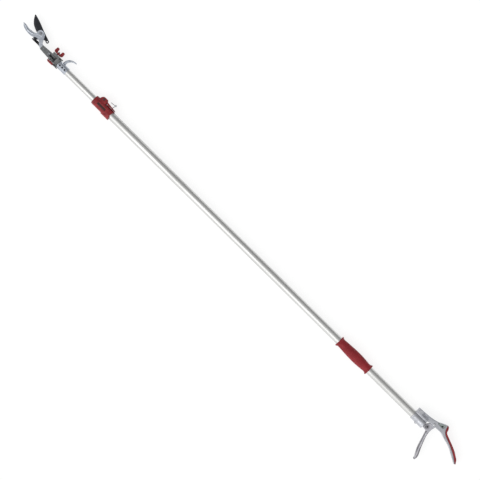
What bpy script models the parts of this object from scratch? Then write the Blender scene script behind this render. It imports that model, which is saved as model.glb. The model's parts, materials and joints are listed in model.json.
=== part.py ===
"""Telescoping long-reach pole pruner, lying flat, in metres.

+X runs along the pole towards the cutting head, +Y is the squeeze lever's side, +Z is up.
The origin is the middle of the object's footprint, on the surface it lies on.
Each group of pieces that moves together hangs from an empty on its own joint axis.
"""

import math

import bmesh
import bpy
from mathutils import Vector

# ---------------------------------------------------------------- driving dimensions
GAP = 0.0003                    # clearance between neighbours that touch
REST_HEIGHT = 0.0175            # pole axis above the surface it lies on

UPPER_TUBE_R = 0.0105           # outside radius of the inner, sliding tube
TUBE_WALL = 0.0012
TUBE_SLIDE_GAP = 0.0008         # radial play between the two tubes
LOWER_TUBE_LENGTH = 1.405
UPPER_TUBE_LENGTH = 1.460
CLOSED_REACH = 0.170            # how far the upper tube stands out when the pole is closed

UPPER_ROD_R = 0.0037
ROD_WALL = 0.0012
ROD_SLIDE_GAP = 0.0006

SOCKET_DEPTH = 0.033            # tube behind the datum, inside the handle
SOCKET_LENGTH = 0.045
SOCKET_WALL = 0.0022
CASTING_HALF = 0.0115           # half thickness of the handle casting
TAIL_HALF = 0.0095              # half thickness of its tail
LEVER_PLATE = 0.0017
LEVER_PIVOT_X = -0.0554
LEVER_PIVOT_BELOW_SOCKET = 0.0067
LEVER_BOLT_R = 0.0030
SOCKET_BOLT_R = 0.0030
PANEL_SCREW = (-0.0215, -0.0130)  # from the lever's pivot
ROD_PIN_X = -0.0430             # where the rod's pin rests
ROD_PIN_R = 0.0015
PIN_SLOT_PLAY = 0.00065         # side play that lets a straight rod follow a swinging slot
SOCKET_SET_SCREW_X = -0.0100
GUIDE_FRONT = 0.017             # front of the ring that backs the return spring
SPRING_SEAT_X = 0.062           # rear of the collar that the spring pushes on
SPRING_WIRE_R = 0.0008
SPRING_TURNS = 8
LOWER_ROD_REAR = 0.012          # from the rod's pin
LOWER_ROD_BACK = 0.060          # the rod's front end behind the lower tube's

GRIP_START = 0.203
GRIP_LENGTH = 0.127

SHOE_THICKNESS = 0.0023
SHOE_LENGTH = 0.016
SHOE_HALF = 0.0065
CAM_R = 0.0066
CAM_OFFSET = 0.0006             # the cam's throw
CAM_BACK = 0.016                # cam axis behind the lower tube's front end
CLAMP_WALL = 0.0024
CLAMP_LENGTH = 0.062
CHEEK_INNER = 0.0079
CHEEK_OUTER = 0.0115
CLAMP_PIN_R = 0.0020
CLAMP_SET_SCREW_X = -0.050      # from the lower tube's front end
CLAMP_TAIL = 0.004              # barrel behind the housing's block
CATCH_AT = (-0.0350, 0.0029)    # the catch's pin, from the cam axis
CATCH_PIN_R = 0.0006

TILT_AXIS_AHEAD = 0.0125        # tilt axis in front of the upper tube
TILT_BOLT_R = 0.0028
KNUCKLE_R = 0.0077
CABLE_SLOT_HALF = 0.0032        # open space between the two discs of the knuckle
HEAD_LENGTH = 0.0505            # tilt axis to the front of the head arm
BLADE_PIVOT = (0.0815, -0.0270)  # from the tilt axis
BLADE_BOLT_R = 0.0030
BLADE_THICKNESS = 0.0031
HOOK_THICKNESS = 0.0038
TONGUE_THICKNESS = 0.0031
TONGUE_HALF = 0.0042
PULL_LINE_Y = -0.0010           # line that the tongue's pin travels on
DRIVE_PIN_X = 0.0855            # pin at rest, from the tilt axis
DRIVE_PIN_R = 0.0015
CABLE_R = 0.0010

# ---------------------------------------------------------------- sizes that follow
UPPER_TUBE_BORE = UPPER_TUBE_R - TUBE_WALL
LOWER_TUBE_BORE = UPPER_TUBE_R + TUBE_SLIDE_GAP
LOWER_TUBE_R = LOWER_TUBE_BORE + TUBE_WALL
UPPER_ROD_BORE = UPPER_ROD_R - ROD_WALL
LOWER_ROD_BORE = UPPER_ROD_R + ROD_SLIDE_GAP
LOWER_ROD_R = LOWER_ROD_BORE + ROD_WALL

TUBE_FRONT = LOWER_TUBE_LENGTH - SOCKET_DEPTH
UPPER_FRONT = TUBE_FRONT + CLOSED_REACH

SLEEVE_BORE = LOWER_TUBE_R + GAP
SOCKET_R = SLEEVE_BORE + SOCKET_WALL
HANDLE_DROP = SOCKET_R + LEVER_PIVOT_BELOW_SOCKET    # lever pivot to the pole axis
LEVER_INNER = LOWER_ROD_R + 0.0004
LEVER_OUTER = LEVER_INNER + LEVER_PLATE
SLOT_HALF = LEVER_OUTER + GAP
PIN_ALONG = ROD_PIN_X - LEVER_PIVOT_X
PIN_REACH = math.hypot(PIN_ALONG, HANDLE_DROP)

BARREL_R = SLEEVE_BORE + CLAMP_WALL
SHOE_TOP = UPPER_TUBE_R + GAP + SHOE_THICKNESS
CAM_Y = -(SHOE_TOP + GAP + CAM_R + CAM_OFFSET)

DRIVE_ARM = PULL_LINE_Y - BLADE_PIVOT[1]             # blade pivot to the tongue's line
DRIVE_PIN_ALONG = DRIVE_PIN_X - BLADE_PIVOT[0]
BLADE_TOP = 0.0015
BLADE_BOTTOM = BLADE_TOP - BLADE_THICKNESS
HOOK_BOTTOM = BLADE_TOP + GAP
HOOK_TOP = HOOK_BOTTOM + HOOK_THICKNESS
TONGUE_TOP = BLADE_BOTTOM - GAP
TONGUE_BOTTOM = TONGUE_TOP - TONGUE_THICKNESS
TONGUE_MIDDLE = (TONGUE_TOP + TONGUE_BOTTOM) / 2

FINE = 40
MEDIUM = 24
SMALL = 16

# name: colour, roughness, metallic
FINISHES = {
    "tube_aluminium": ((0.74, 0.74, 0.73), 0.34, 1.0),
    "cast_aluminium": ((0.66, 0.67, 0.70), 0.45, 1.0),
    "head_grey": ((0.30, 0.30, 0.31), 0.55, 0.4),
    "blade_black": ((0.025, 0.028, 0.035), 0.35, 0.3),
    "hook_steel": ((0.62, 0.64, 0.68), 0.40, 1.0),
    "bright_steel": ((0.70, 0.71, 0.72), 0.25, 1.0),
    "black_steel": ((0.03, 0.03, 0.035), 0.45, 0.6),
    "red_plastic": ((0.33, 0.025, 0.03), 0.42, 0.0),
    "red_grip": ((0.30, 0.02, 0.025), 0.60, 0.0),
    "grey_plastic": ((0.38, 0.43, 0.41), 0.55, 0.0),
    "white_plastic": ((0.75, 0.75, 0.73), 0.50, 0.0),
}


# ---------------------------------------------------------------- tools
def clear_scene():
    for obj in list(bpy.data.objects):
        bpy.data.objects.remove(obj)


def finish_material(name):
    """The Principled material of one finish, made on first use."""
    if name in bpy.data.materials:
        return bpy.data.materials[name]
    colour, roughness, metallic = FINISHES[name]
    material = bpy.data.materials.new(name)
    material.use_nodes = True
    shader = material.node_tree.nodes["Principled BSDF"]
    shader.inputs["Base Color"].default_value = (*colour, 1.0)
    shader.inputs["Roughness"].default_value = roughness
    shader.inputs["Metallic"].default_value = metallic
    return material


def empty(name, parent, location):
    """A frame that pieces hang from, placed in its parent's frame."""
    obj = bpy.data.objects.new(name, None)
    bpy.context.scene.collection.objects.link(obj)
    obj.parent = parent
    obj.location = location
    return obj


def linked(name, bm, group, finish):
    """Turns a bmesh into an object of the group, faces out, round parts smooth."""
    bmesh.ops.recalc_face_normals(bm, faces=bm.faces)
    mesh = bpy.data.meshes.new(name)
    bm.to_mesh(mesh)
    bm.free()
    mesh.shade_smooth()
    mesh.set_sharp_from_angle(angle=math.radians(32))
    obj = bpy.data.objects.new(name, mesh)
    bpy.context.scene.collection.objects.link(obj)
    obj.parent = group
    if finish:
        mesh.materials.append(finish_material(finish))
    return obj


def on_axis(axis, along, u, v):
    """A point at 'along' on the axis and u, v across it."""
    return {"x": (along, u, v), "y": (u, along, v), "z": (u, v, along)}[axis]


def prism(name, outline, low, high, group, finish=None, axis="z"):
    """A closed outline (two coordinates across the axis) extruded from low to high."""
    bm = bmesh.new()
    lower = [bm.verts.new(on_axis(axis, low, *p)) for p in outline]
    upper = [bm.verts.new(on_axis(axis, high, *p)) for p in outline]
    bm.faces.new(lower)
    bm.faces.new(list(reversed(upper)))
    count = len(outline)
    for i in range(count):
        j = (i + 1) % count
        bm.faces.new([lower[i], upper[i], upper[j], lower[j]])
    return linked(name, bm, group, finish)


def turned(name, profile, group, finish=None, axis="x", centre=(0, 0), steps=MEDIUM):
    """A closed profile of (along, radius) points spun round an axis through 'centre'."""
    bm = bmesh.new()
    rings = []
    for along, radius in profile:
        count = 1 if radius < 1e-7 else steps
        ring = []
        for k in range(count):
            angle = 2 * math.pi * k / steps
            u = centre[0] + radius * math.cos(angle)
            v = centre[1] + radius * math.sin(angle)
            ring.append(bm.verts.new(on_axis(axis, along, u, v)))
        rings.append(ring)
    for i, ring in enumerate(rings):
        other = rings[(i + 1) % len(rings)]
        if len(ring) == 1 and len(other) == 1:
            continue
        for k in range(steps):
            corners = [ring[k % len(ring)], ring[(k + 1) % len(ring)],
                       other[(k + 1) % len(other)], other[k % len(other)]]
            bm.faces.new(list(dict.fromkeys(corners)))
    return linked(name, bm, group, finish)


def rod(name, low, high, radius, group, finish=None, **kw):
    """A plain solid cylinder."""
    profile = [(low, 0), (low, radius), (high, radius), (high, 0)]
    return turned(name, profile, group, finish, **kw)


def tube(name, low, high, radius, bore, group, finish=None, **kw):
    """A plain hollow cylinder."""
    profile = [(low, bore), (low, radius), (high, radius), (high, bore)]
    return turned(name, profile, group, finish, **kw)


def block(name, low, high, group, finish=None):
    """A box between two corners."""
    outline = [(low[0], low[1]), (high[0], low[1]), (high[0], high[1]), (low[0], high[1])]
    return prism(name, outline, low[2], high[2], group, finish)


def screw(name, tip, seat, top, shank, head, group, finish, axis="z", centre=(0, 0)):
    """A shank from tip to seat with a round head from seat to top."""
    shape = [(tip, 0), (tip, shank), (seat, shank), (seat, head), (top, head), (top, 0)]
    return turned(name, shape, group, finish, axis=axis, centre=centre, steps=SMALL)


def combine(target, tool, operation):
    """An exact Boolean with a tool object that isn't part of the model."""
    tool.hide_render = True
    tool.display_type = "WIRE"
    modifier = target.modifiers.new(tool.name, "BOOLEAN")
    modifier.solver = "EXACT"
    modifier.operation = operation
    modifier.object = tool
    return target


def hex_bolt(name, tip, seat, top, shank, head, group, finish, centre=(0, 0)):
    """A round shank from tip to seat with a six-sided head from seat to top."""
    bolt = rod(name, seat, top, head, group, finish, axis="z", centre=centre, steps=6)
    return add(bolt, rod(f"guide_{name}", tip, (seat + top) / 2, shank, group, axis="z",
                         centre=centre, steps=SMALL))


def hex_nut(name, low, high, radius, bore, group, finish, centre=(0, 0)):
    """A six-sided nut with a round hole."""
    nut = rod(name, low, high, radius, group, finish, axis="z", centre=centre, steps=6)
    return cut(nut, rod(f"cutter_{name}", low - 0.001, high + 0.001, bore, group, axis="z",
                        centre=centre, steps=SMALL))


def cut(target, *tools):
    for tool in tools:
        combine(target, tool, "DIFFERENCE")
    return target


def add(target, *tools):
    for tool in tools:
        combine(target, tool, "UNION")
    return target


def arc(centre, radius, start, end, steps=8):
    """Points on a circle from one angle to another, in degrees."""
    points = []
    for k in range(steps + 1):
        angle = math.radians(start + (end - start) * k / steps)
        points.append((centre[0] + radius * math.cos(angle), centre[1] + radius * math.sin(angle)))
    return points


def smooth(points, steps=3):
    """An open Catmull-Rom curve through the points."""
    vectors = [Vector(p) for p in points]
    padded = [2 * vectors[0] - vectors[1], *vectors, 2 * vectors[-1] - vectors[-2]]
    curve = []
    for i in range(1, len(padded) - 2):
        a, b, c, d = padded[i - 1:i + 3]
        for k in range(steps):
            t = k / steps
            p = 0.5 * (2 * b + (c - a) * t + (2 * a - 5 * b + 4 * c - d) * t * t
                       + (3 * b - a - 3 * c + d) * t ** 3)
            curve.append(tuple(p))
    curve.append(tuple(vectors[-1]))
    return curve


def beside(points, distance):
    """An open path moved sideways; a positive distance is to the left of its direction."""
    vectors = [Vector(p) for p in points]
    moved = []
    for i, p in enumerate(vectors):
        before = vectors[max(i - 1, 0)]
        after = vectors[min(i + 1, len(vectors) - 1)]
        direction = (after - before).normalized()
        moved.append((p.x - direction.y * distance, p.y + direction.x * distance))
    return moved


def shifted(points, dx, dy):
    return [(x + dx, y + dy) for x, y in points]


def capsule(start, end, radius, steps=6):
    """A straight slot with round ends, as an outline."""
    direction = math.degrees(math.atan2(end[1] - start[1], end[0] - start[0]))
    return (arc(end, radius, direction - 90, direction + 90, steps)
            + arc(start, radius, direction + 90, direction + 270, steps))


# ---------------------------------------------------------------- pole
def make_lower_tube(root):
    body = tube("lower_tube", GAP - SOCKET_DEPTH, TUBE_FRONT, LOWER_TUBE_R, LOWER_TUBE_BORE,
                root, "tube_aluminium", steps=FINE)
    middle = TUBE_FRONT - CAM_BACK
    reach = SHOE_LENGTH / 2 + 2 * GAP
    window = block("cutter_shoe_window",
                   (middle - reach, -LOWER_TUBE_R - 0.001, -SHOE_HALF - GAP),
                   (middle + reach, -LOWER_TUBE_R * 0.5, SHOE_HALF + GAP), root)
    cut(body, window)


def make_grip_sleeve(root):
    """Moulded hand grip: two flanges and a barrel that swells in the middle."""
    flange_r = LOWER_TUBE_R + 0.005
    flange = 0.0045
    shape = [(0, SLEEVE_BORE), (0, flange_r - 0.001), (0.001, flange_r), (flange, flange_r)]
    count = 10
    for k in range(count + 1):
        t = k / count
        swell = math.sin(math.pi * t) ** 1.3
        lean = 1 + 0.25 * math.cos(math.pi * t)
        radius = LOWER_TUBE_R + 0.0017 + 0.0026 * swell * lean
        shape.append((flange + 0.003 + (GRIP_LENGTH - 2 * flange - 0.006) * t, radius))
    far = GRIP_LENGTH
    shape += [(far - flange, flange_r), (far - 0.001, flange_r), (far, flange_r - 0.001),
              (far, SLEEVE_BORE)]
    turned("grip_sleeve", shifted(shape, GRIP_START, 0), root, "red_grip", steps=FINE)


def make_end_wiper(clamp):
    """Nylon ring that centres the upper tube in front of the lower tube's end."""
    tube("end_wiper", GAP, 0.006, LOWER_TUBE_R, UPPER_TUBE_R + GAP, clamp, "white_plastic")


def make_rod_guide(root):
    """Ring that centres the pull rod and backs the return spring."""
    tube("rod_guide", GUIDE_FRONT - 0.012, GUIDE_FRONT, LOWER_TUBE_BORE - GAP, LOWER_ROD_R + GAP, root,
         "white_plastic")


# ---------------------------------------------------------------- handle
# Outlines are measured from the lever's pivot.
HORN_TOP = [(0.0287, -0.0083), (0.0004, -0.0133), (-0.0186, -0.0216), (-0.0291, -0.0266)]
SEAM = smooth([(-0.0315, -0.0270), (-0.0353, -0.0151), (-0.0408, -0.0060), (-0.0501, 0.0004),
               (-0.0636, 0.0058), (-0.0816, 0.0132), (-0.1046, 0.0250), (-0.1213, 0.0368),
               (-0.1290, 0.0424)])
PALM = smooth([(-0.0330, -0.0272), (-0.0373, -0.0251), (-0.0419, -0.0178), (-0.0440, -0.0108),
               (-0.0501, -0.0063), (-0.0682, 0.0012), (-0.0826, 0.0067), (-0.0991, 0.0140),
               (-0.1136, 0.0231), (-0.1226, 0.0294), (-0.1306, 0.0412)])
UNDERSIDE = smooth([(-0.1266, 0.0442), (-0.1016, 0.0303), (-0.0801, 0.0185), (-0.0591, 0.0122),
                    (-0.0446, 0.0077), (-0.0316, 0.0037), (-0.0196, 0.0040)], 2)
HORN_PANEL = [(-0.0026, -0.0118), (-0.0086, -0.0098), (-0.0270, -0.0093), (-0.0293, -0.0163),
              (-0.0283, -0.0238), (-0.0186, -0.0195)]
PIVOT_BOSS_R = 0.0090


def make_handle_frame(handle):
    """The casting: a split socket round the tube, cheeks round the lever, a horn and a tail."""
    socket_rear = -SOCKET_DEPTH - LEVER_PIVOT_X
    socket_front = socket_rear + SOCKET_LENGTH
    axis_y = HANDLE_DROP
    under_boss = arc((0, 0), PIVOT_BOSS_R, 156, 20, 10)
    outline = ([(socket_front, -0.0058)] + smooth([(socket_front, -0.0058), *HORN_TOP], 2)[1:]
               + beside(SEAM, -GAP / 2)
               + UNDERSIDE + under_boss
               + [(0.0154, 0.0062), (socket_rear, 0.0077), (socket_rear, axis_y - 0.010),
                  (socket_front, axis_y - 0.010)])
    frame = prism("handle_frame", outline, -CASTING_HALF, CASTING_HALF, handle, "cast_aluminium")
    add(frame, rod("guide_socket", socket_rear, socket_front, SOCKET_R, handle,
                   centre=(axis_y, 0), steps=FINE))
    swing = ([(0.0170, 0.030), (0.0170, 0.0105), (0.0086, -0.0015)]
             + arc((0, 0), 0.0083, -10, -135, 8)
             + [(-0.0117, -0.0002), (-0.0205, 0.0120), (-0.0205, 0.030)])
    bore = rod("cutter_tube_bore", socket_rear - 0.002, socket_front + 0.002, SLEEVE_BORE, handle,
               centre=(axis_y, 0), steps=FINE)
    split = block("cutter_split", (socket_rear - 0.003, -0.012, -0.0008),
                  (socket_front + 0.003, axis_y - 0.011, 0.0008), handle)
    ribs = block("cutter_rib_slot", (0.0237, -0.0041, CASTING_HALF - 0.0022),
                 (0.0479, 0.0049, CASTING_HALF + 0.001), handle)
    bolt_hole = rod("cutter_socket_bolt", -0.03, 0.03, SOCKET_BOLT_R + GAP, handle, axis="z",
                    centre=socket_bolt_place(), steps=SMALL)
    pivot_hole = rod("cutter_lever_bolt", -0.03, 0.03, LEVER_BOLT_R + GAP, handle, axis="z", steps=SMALL)
    panel = prism("cutter_panel", HORN_PANEL, CASTING_HALF - 0.003, CASTING_HALF + 0.001, handle)
    panel_screw = rod("cutter_panel_screw", 0, 0.02, 0.0018, handle, axis="z",
                      centre=PANEL_SCREW, steps=SMALL)
    set_hole = rod("cutter_set_screw", axis_y + 0.008, axis_y + 0.03, 0.0023, handle, axis="y",
                   centre=(SOCKET_SET_SCREW_X - LEVER_PIVOT_X, 0), steps=SMALL)
    waists = [block(f"cutter_tail_{side}", (-0.15, -0.01, low), (-0.0500, 0.06, high), handle)
              for side, low, high in (("top", TAIL_HALF, 0.02), ("bottom", -0.02, -TAIL_HALF))]
    lever_slot = prism("cutter_lever_slot", swing, -SLOT_HALF, SLOT_HALF, handle)
    cut(frame, lever_slot, split, ribs, bolt_hole, pivot_hole, panel, panel_screw,
        set_hole, *waists, bore)


def socket_bolt_place():
    """Just outside the tube's bore, near the socket's front."""
    return (0.0025 - LEVER_PIVOT_X, HANDLE_DROP - SLEEVE_BORE - SOCKET_BOLT_R - 0.0046)


def make_handle_insert(handle):
    """Red palm piece, set along the back of the casting, with ribs for the hand."""
    outline = PALM + list(reversed(beside(SEAM, GAP / 2)))
    insert = prism("handle_insert", outline, -TAIL_HALF - 0.001, TAIL_HALF + 0.001, handle, "red_plastic")
    bands = []
    for k in range(5):
        x = -0.0640 - 0.0048 * k
        y = 0.0000 + 0.0019 * k
        bands.append(prism(f"guide_rib_{k}", arc((x, y + 0.0006), 0.0012, 0, 324, 9),
                           -TAIL_HALF + 0.002, TAIL_HALF - 0.002, handle))
    add(insert, *bands)


def make_handle_fasteners(handle):
    bolt_x, bolt_y = socket_bolt_place()
    hex_bolt("socket_bolt", -CASTING_HALF - 0.0045, CASTING_HALF + GAP, CASTING_HALF + 0.0038,
             SOCKET_BOLT_R, 0.0054, handle, "bright_steel", centre=(bolt_x, bolt_y))
    hex_nut("socket_nut", -CASTING_HALF - 0.0042, -CASTING_HALF - GAP, 0.0054, SOCKET_BOLT_R + GAP,
            handle, "bright_steel", centre=(bolt_x, bolt_y))
    screw("lever_pivot_bolt", -CASTING_HALF - 0.0040, CASTING_HALF + GAP, CASTING_HALF + 0.0025,
          LEVER_BOLT_R, 0.0046, handle, "bright_steel")
    hex_nut("lever_pivot_nut", -CASTING_HALF - 0.0037, -CASTING_HALF - GAP, 0.0052,
            LEVER_BOLT_R + GAP, handle, "bright_steel")
    screw("horn_panel_screw", CASTING_HALF - 0.009, CASTING_HALF - 0.0002, CASTING_HALF + 0.0010,
          0.0015, 0.0026, handle, "black_steel", centre=PANEL_SCREW)
    rod("socket_set_screw", HANDLE_DROP + LOWER_TUBE_R + GAP, HANDLE_DROP + SOCKET_R + 0.0022, 0.0020,
        handle, "black_steel", axis="y", centre=(SOCKET_SET_SCREW_X - LEVER_PIVOT_X, 0), steps=SMALL)


def make_horn_panel(handle):
    """Grey plastic panel let into the horn."""
    middle = Vector((sum(p[0] for p in HORN_PANEL), sum(p[1] for p in HORN_PANEL))) / len(HORN_PANEL)
    outline = [tuple(Vector(p) + (middle - Vector(p)).normalized() * 2 * GAP) for p in HORN_PANEL]
    panel = prism("horn_panel", outline, CASTING_HALF - 0.003 + GAP, CASTING_HALF - 0.0005, handle,
                  "grey_plastic")
    cut(panel, rod("cutter_panel_hole", 0, 0.02, 0.0018, handle, axis="z",
                   centre=PANEL_SCREW, steps=SMALL))


def make_squeeze_lever(lever):
    """Pressed channel: two plates round the rod's end, joined by a web down the finger side."""
    pin_y = HANDLE_DROP
    front = [(0.0055, pin_y + 0.0098), (0.0024, pin_y + 0.020), (-0.0106, pin_y + 0.062),
             (-0.0246, pin_y + 0.090)]
    lobe = [(0.0145, pin_y - 0.0127), (0.0195, pin_y - 0.0057), (0.0212, pin_y),
            (0.0200, pin_y + 0.0058), (0.0165, pin_y + 0.0086)]
    rear = [(-0.0316, pin_y + 0.090), (-0.0308, pin_y + 0.080), (-0.0196, pin_y + 0.055),
            (-0.0066, pin_y + 0.020), (-0.0046, pin_y), (-0.0070, 0.0080)]
    outline = (arc((0, 0), 0.0076, 190, 350, 10) + smooth(lobe, 3)
               + smooth(front, 4) + [(-0.0254, pin_y + 0.0955), (-0.0285, pin_y + 0.0973),
                                     (-0.0310, pin_y + 0.0950)]
               + smooth(rear, 4))
    body = prism("squeeze_lever", outline, -LEVER_OUTER, LEVER_OUTER, lever, "cast_aluminium")
    web = [(x - 0.0024, y + 0.0006) for x, y in smooth(front, 4)]
    channel = ([(0.06, -0.03), (0.06, pin_y + 0.0096)] + web
               + [(-0.0275, pin_y + 0.0945), (-0.06, pin_y + 0.0945), (-0.06, -0.03)])
    angle = math.atan2(pin_y, PIN_ALONG)
    unit = Vector((math.cos(angle), math.sin(angle)))
    slot = capsule(tuple(unit * (pin_y - 0.0002)), tuple(unit * (PIN_REACH + 0.0002)),
                   ROD_PIN_R + PIN_SLOT_PLAY)
    cut(body,
        prism("cutter_channel", channel, -LEVER_INNER, LEVER_INNER, lever),
        prism("cutter_pin_slot", slot, -0.02, 0.02, lever),
        rod("cutter_lever_bore", -0.02, 0.02, LEVER_BOLT_R + GAP, lever, axis="z", steps=SMALL))


# ---------------------------------------------------------------- pull rods
def make_lower_rod(pull):
    """Measured from the rod's pin: outer pull rod, its eye, pin, spring seat and clutch."""
    rear = LOWER_ROD_REAR
    front = TUBE_FRONT - LOWER_ROD_BACK - ROD_PIN_X
    tube("lower_pull_rod", rear, front, LOWER_ROD_R, LOWER_ROD_BORE, pull, "tube_aluminium", steps=24)
    eye_half = LOWER_ROD_R - 0.001
    neck = rear - GAP
    outline = arc((0, 0), 0.0050, 60, 300, 14) + [(neck, -0.0043), (neck, 0.0043)]
    eye = prism("rod_end_eye", outline, -eye_half, eye_half, pull, "black_steel")
    add(eye, rod("guide_eye_stem", neck - 0.003, rear + 0.014, LOWER_ROD_BORE - GAP, pull, steps=SMALL))
    cut(eye, rod("cutter_eye", -0.02, 0.02, ROD_PIN_R + GAP, pull, axis="z", steps=SMALL))
    pin_half = LEVER_OUTER - 0.0003
    rod("rod_end_pin", -pin_half, pin_half, ROD_PIN_R, pull, "bright_steel", axis="z", steps=SMALL)
    seat = SPRING_SEAT_X - ROD_PIN_X
    tube("spring_seat", seat, seat + 0.004, LOWER_TUBE_BORE - 0.0020, LOWER_ROD_R + GAP, pull,
         "black_steel")
    clutch_r = LOWER_ROD_R + 0.0025
    lip = front + GAP
    shape = [(front - 0.022, LOWER_ROD_R + GAP), (front - 0.022, clutch_r), (lip + 0.0037, clutch_r),
             (lip + 0.0037, UPPER_ROD_R + GAP), (lip, UPPER_ROD_R + GAP), (lip, LOWER_ROD_R + GAP)]
    turned("rod_clutch", shape, pull, "black_steel")


def make_return_spring(root):
    """Coil spring round the pull rod, between the guide and the spring seat."""
    low, high = GUIDE_FRONT + GAP, SPRING_SEAT_X - GAP
    wire, turns = SPRING_WIRE_R, SPRING_TURNS
    coil_r = LOWER_ROD_R + 0.0026
    curve = bpy.data.curves.new("return_spring", "CURVE")
    curve.dimensions = "3D"
    curve.bevel_depth = wire
    curve.bevel_resolution = 1
    curve.use_fill_caps = True
    count = turns * 12
    spline = curve.splines.new("POLY")
    spline.points.add(count)
    for k in range(count + 1):
        angle = 2 * math.pi * turns * k / count
        x = low + wire + (high - low - 2 * wire) * k / count
        spline.points[k].co = (x, coil_r * math.cos(angle), coil_r * math.sin(angle), 1)
    curve.materials.append(finish_material("bright_steel"))
    obj = bpy.data.objects.new("return_spring", curve)
    bpy.context.scene.collection.objects.link(obj)
    obj.parent = root


def make_upper_rod(pull):
    """Measured from the upper tube's front: inner pull rod, ferrule and the cable it pulls."""
    front = -0.012
    rear = 0.023 - UPPER_TUBE_LENGTH
    tube("upper_pull_rod", rear, front, UPPER_ROD_R, UPPER_ROD_BORE, pull, "tube_aluminium", steps=20)
    hole = CABLE_R + GAP
    stem = UPPER_ROD_BORE - GAP
    shape = [(front - 0.010, hole), (front - 0.010, stem), (front + GAP, stem),
             (front + GAP, UPPER_ROD_R), (front + 0.006, UPPER_ROD_R), (front + 0.006, hole)]
    turned("rod_ferrule", shape, pull, "black_steel", steps=SMALL)
    start = front - 0.004
    axis = TILT_AXIS_AHEAD
    end = axis + TONGUE_REAR + 0.006
    path = smooth([(start, 0), (front + 0.007, 0), (axis, 0), (axis + 0.008, TONGUE_MIDDLE * 0.4),
                   (axis + TONGUE_REAR - 0.003, TONGUE_MIDDLE), (end, TONGUE_MIDDLE)], 3)
    curve = bpy.data.curves.new("pull_cable", "CURVE")
    curve.dimensions = "3D"
    curve.bevel_depth = CABLE_R
    curve.bevel_resolution = 2
    curve.use_fill_caps = True
    spline = curve.splines.new("POLY")
    spline.points.add(len(path) - 1)
    for point, (x, z) in zip(spline.points, path):
        point.co = (x, 0, z, 1)
    curve.materials.append(finish_material("bright_steel"))
    obj = bpy.data.objects.new("pull_cable", curve)
    bpy.context.scene.collection.objects.link(obj)
    obj.parent = pull


# ---------------------------------------------------------------- clamp
def make_clamp_body(clamp):
    """Two-bore housing at the tubes' junction, with a foot, and cheeks for the cam lever."""
    rear = -CLAMP_LENGTH
    end = rear - CLAMP_TAIL
    shape = [(end, 0), (end, BARREL_R), (0.002, BARREL_R), (0.0065, BARREL_R - 0.0006),
             (0.008, BARREL_R - 0.002), (0.008, 0)]
    body = turned("clamp_body", shape, clamp, "red_plastic", steps=FINE)
    band = rod("guide_band", end, -0.035, BARREL_R + 0.0003, clamp, centre=(0.0020, 0), steps=FINE)
    base = block("guide_foot", (rear, -0.009, -REST_HEIGHT), (-0.004, 0.012, -BARREL_R * 0.6), clamp)
    cheek = [(-0.0045, -BARREL_R * 0.6), (-0.0035, CAM_Y + 0.003), (-0.0075, CAM_Y - 0.0038),
             (-0.0120, CAM_Y - 0.0067), (-0.0255, CAM_Y - 0.0067), (-0.0285, CAM_Y - 0.0018),
             (-0.0290, -BARREL_R * 0.6)]
    cheeks = prism("guide_cheeks", cheek, -CHEEK_OUTER, CHEEK_OUTER, clamp)
    add(body, band, base, cheeks)
    reach = SHOE_LENGTH / 2 + 3 * GAP
    bay = block("cutter_cam_bay", (-CAM_BACK - reach - 0.0050, CAM_Y - 0.010, -CHEEK_INNER),
                (-CAM_BACK + reach + 0.0045, -BARREL_R + 0.0003, CHEEK_INNER), clamp)
    window = block("cutter_shoe_bay", (-CAM_BACK - reach, CAM_Y - 0.002, -SHOE_HALF - GAP),
                   (-CAM_BACK + reach, -UPPER_TUBE_R * 0.6, SHOE_HALF + GAP), clamp)
    cam_room = block("cutter_cam_room", (-CAM_BACK - reach, CAM_Y - 0.002, -CHEEK_INNER),
                     (-CAM_BACK + reach, CAM_Y + CAM_R + CAM_OFFSET + GAP, CHEEK_INNER), clamp)
    main_bore = rod("cutter_clamp_bore", rear - 0.006, 0.006 + GAP, SLEEVE_BORE, clamp, steps=FINE)
    lip_bore = rod("cutter_lip_bore", 0, 0.012, UPPER_TUBE_R + GAP + 0.0002, clamp, steps=FINE)
    scallop = rod("cutter_scallop", -0.03, 0.03, 0.030, clamp, axis="z",
                  centre=(rear - 0.030, -0.001), steps=96)
    pin_hole = rod("cutter_cam_pin", -0.03, 0.03, CLAMP_PIN_R + GAP, clamp, axis="z",
                   centre=(-CAM_BACK, CAM_Y), steps=SMALL)
    set_hole = rod("cutter_clamp_set", -0.03, -0.005, 0.0028, clamp, axis="z",
                   centre=(CLAMP_SET_SCREW_X, 0), steps=SMALL)
    cut(body, bay, window, cam_room, main_bore, lip_bore, scallop, pin_hole, set_hole)


def make_clamp_small_parts(clamp):
    screw("clamp_cam_pin", -CHEEK_OUTER - 0.001, CHEEK_OUTER + GAP, CHEEK_OUTER + 0.0014, CLAMP_PIN_R,
          0.0032, clamp, "bright_steel", centre=(-CAM_BACK, CAM_Y))
    rod("clamp_set_screw", -REST_HEIGHT + 0.0015, -LOWER_TUBE_R - GAP, 0.0025, clamp, "black_steel",
        axis="z", centre=(CLAMP_SET_SCREW_X, 0), steps=SMALL)


def make_brake_shoe(shoe):
    """Pressed on the upper tube through a window in the lower one."""
    half = SHOE_LENGTH / 2
    block("brake_shoe", (-half, -SHOE_TOP, -SHOE_HALF), (half, -UPPER_TUBE_R - GAP, SHOE_HALF), shoe,
          "black_steel")


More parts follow.
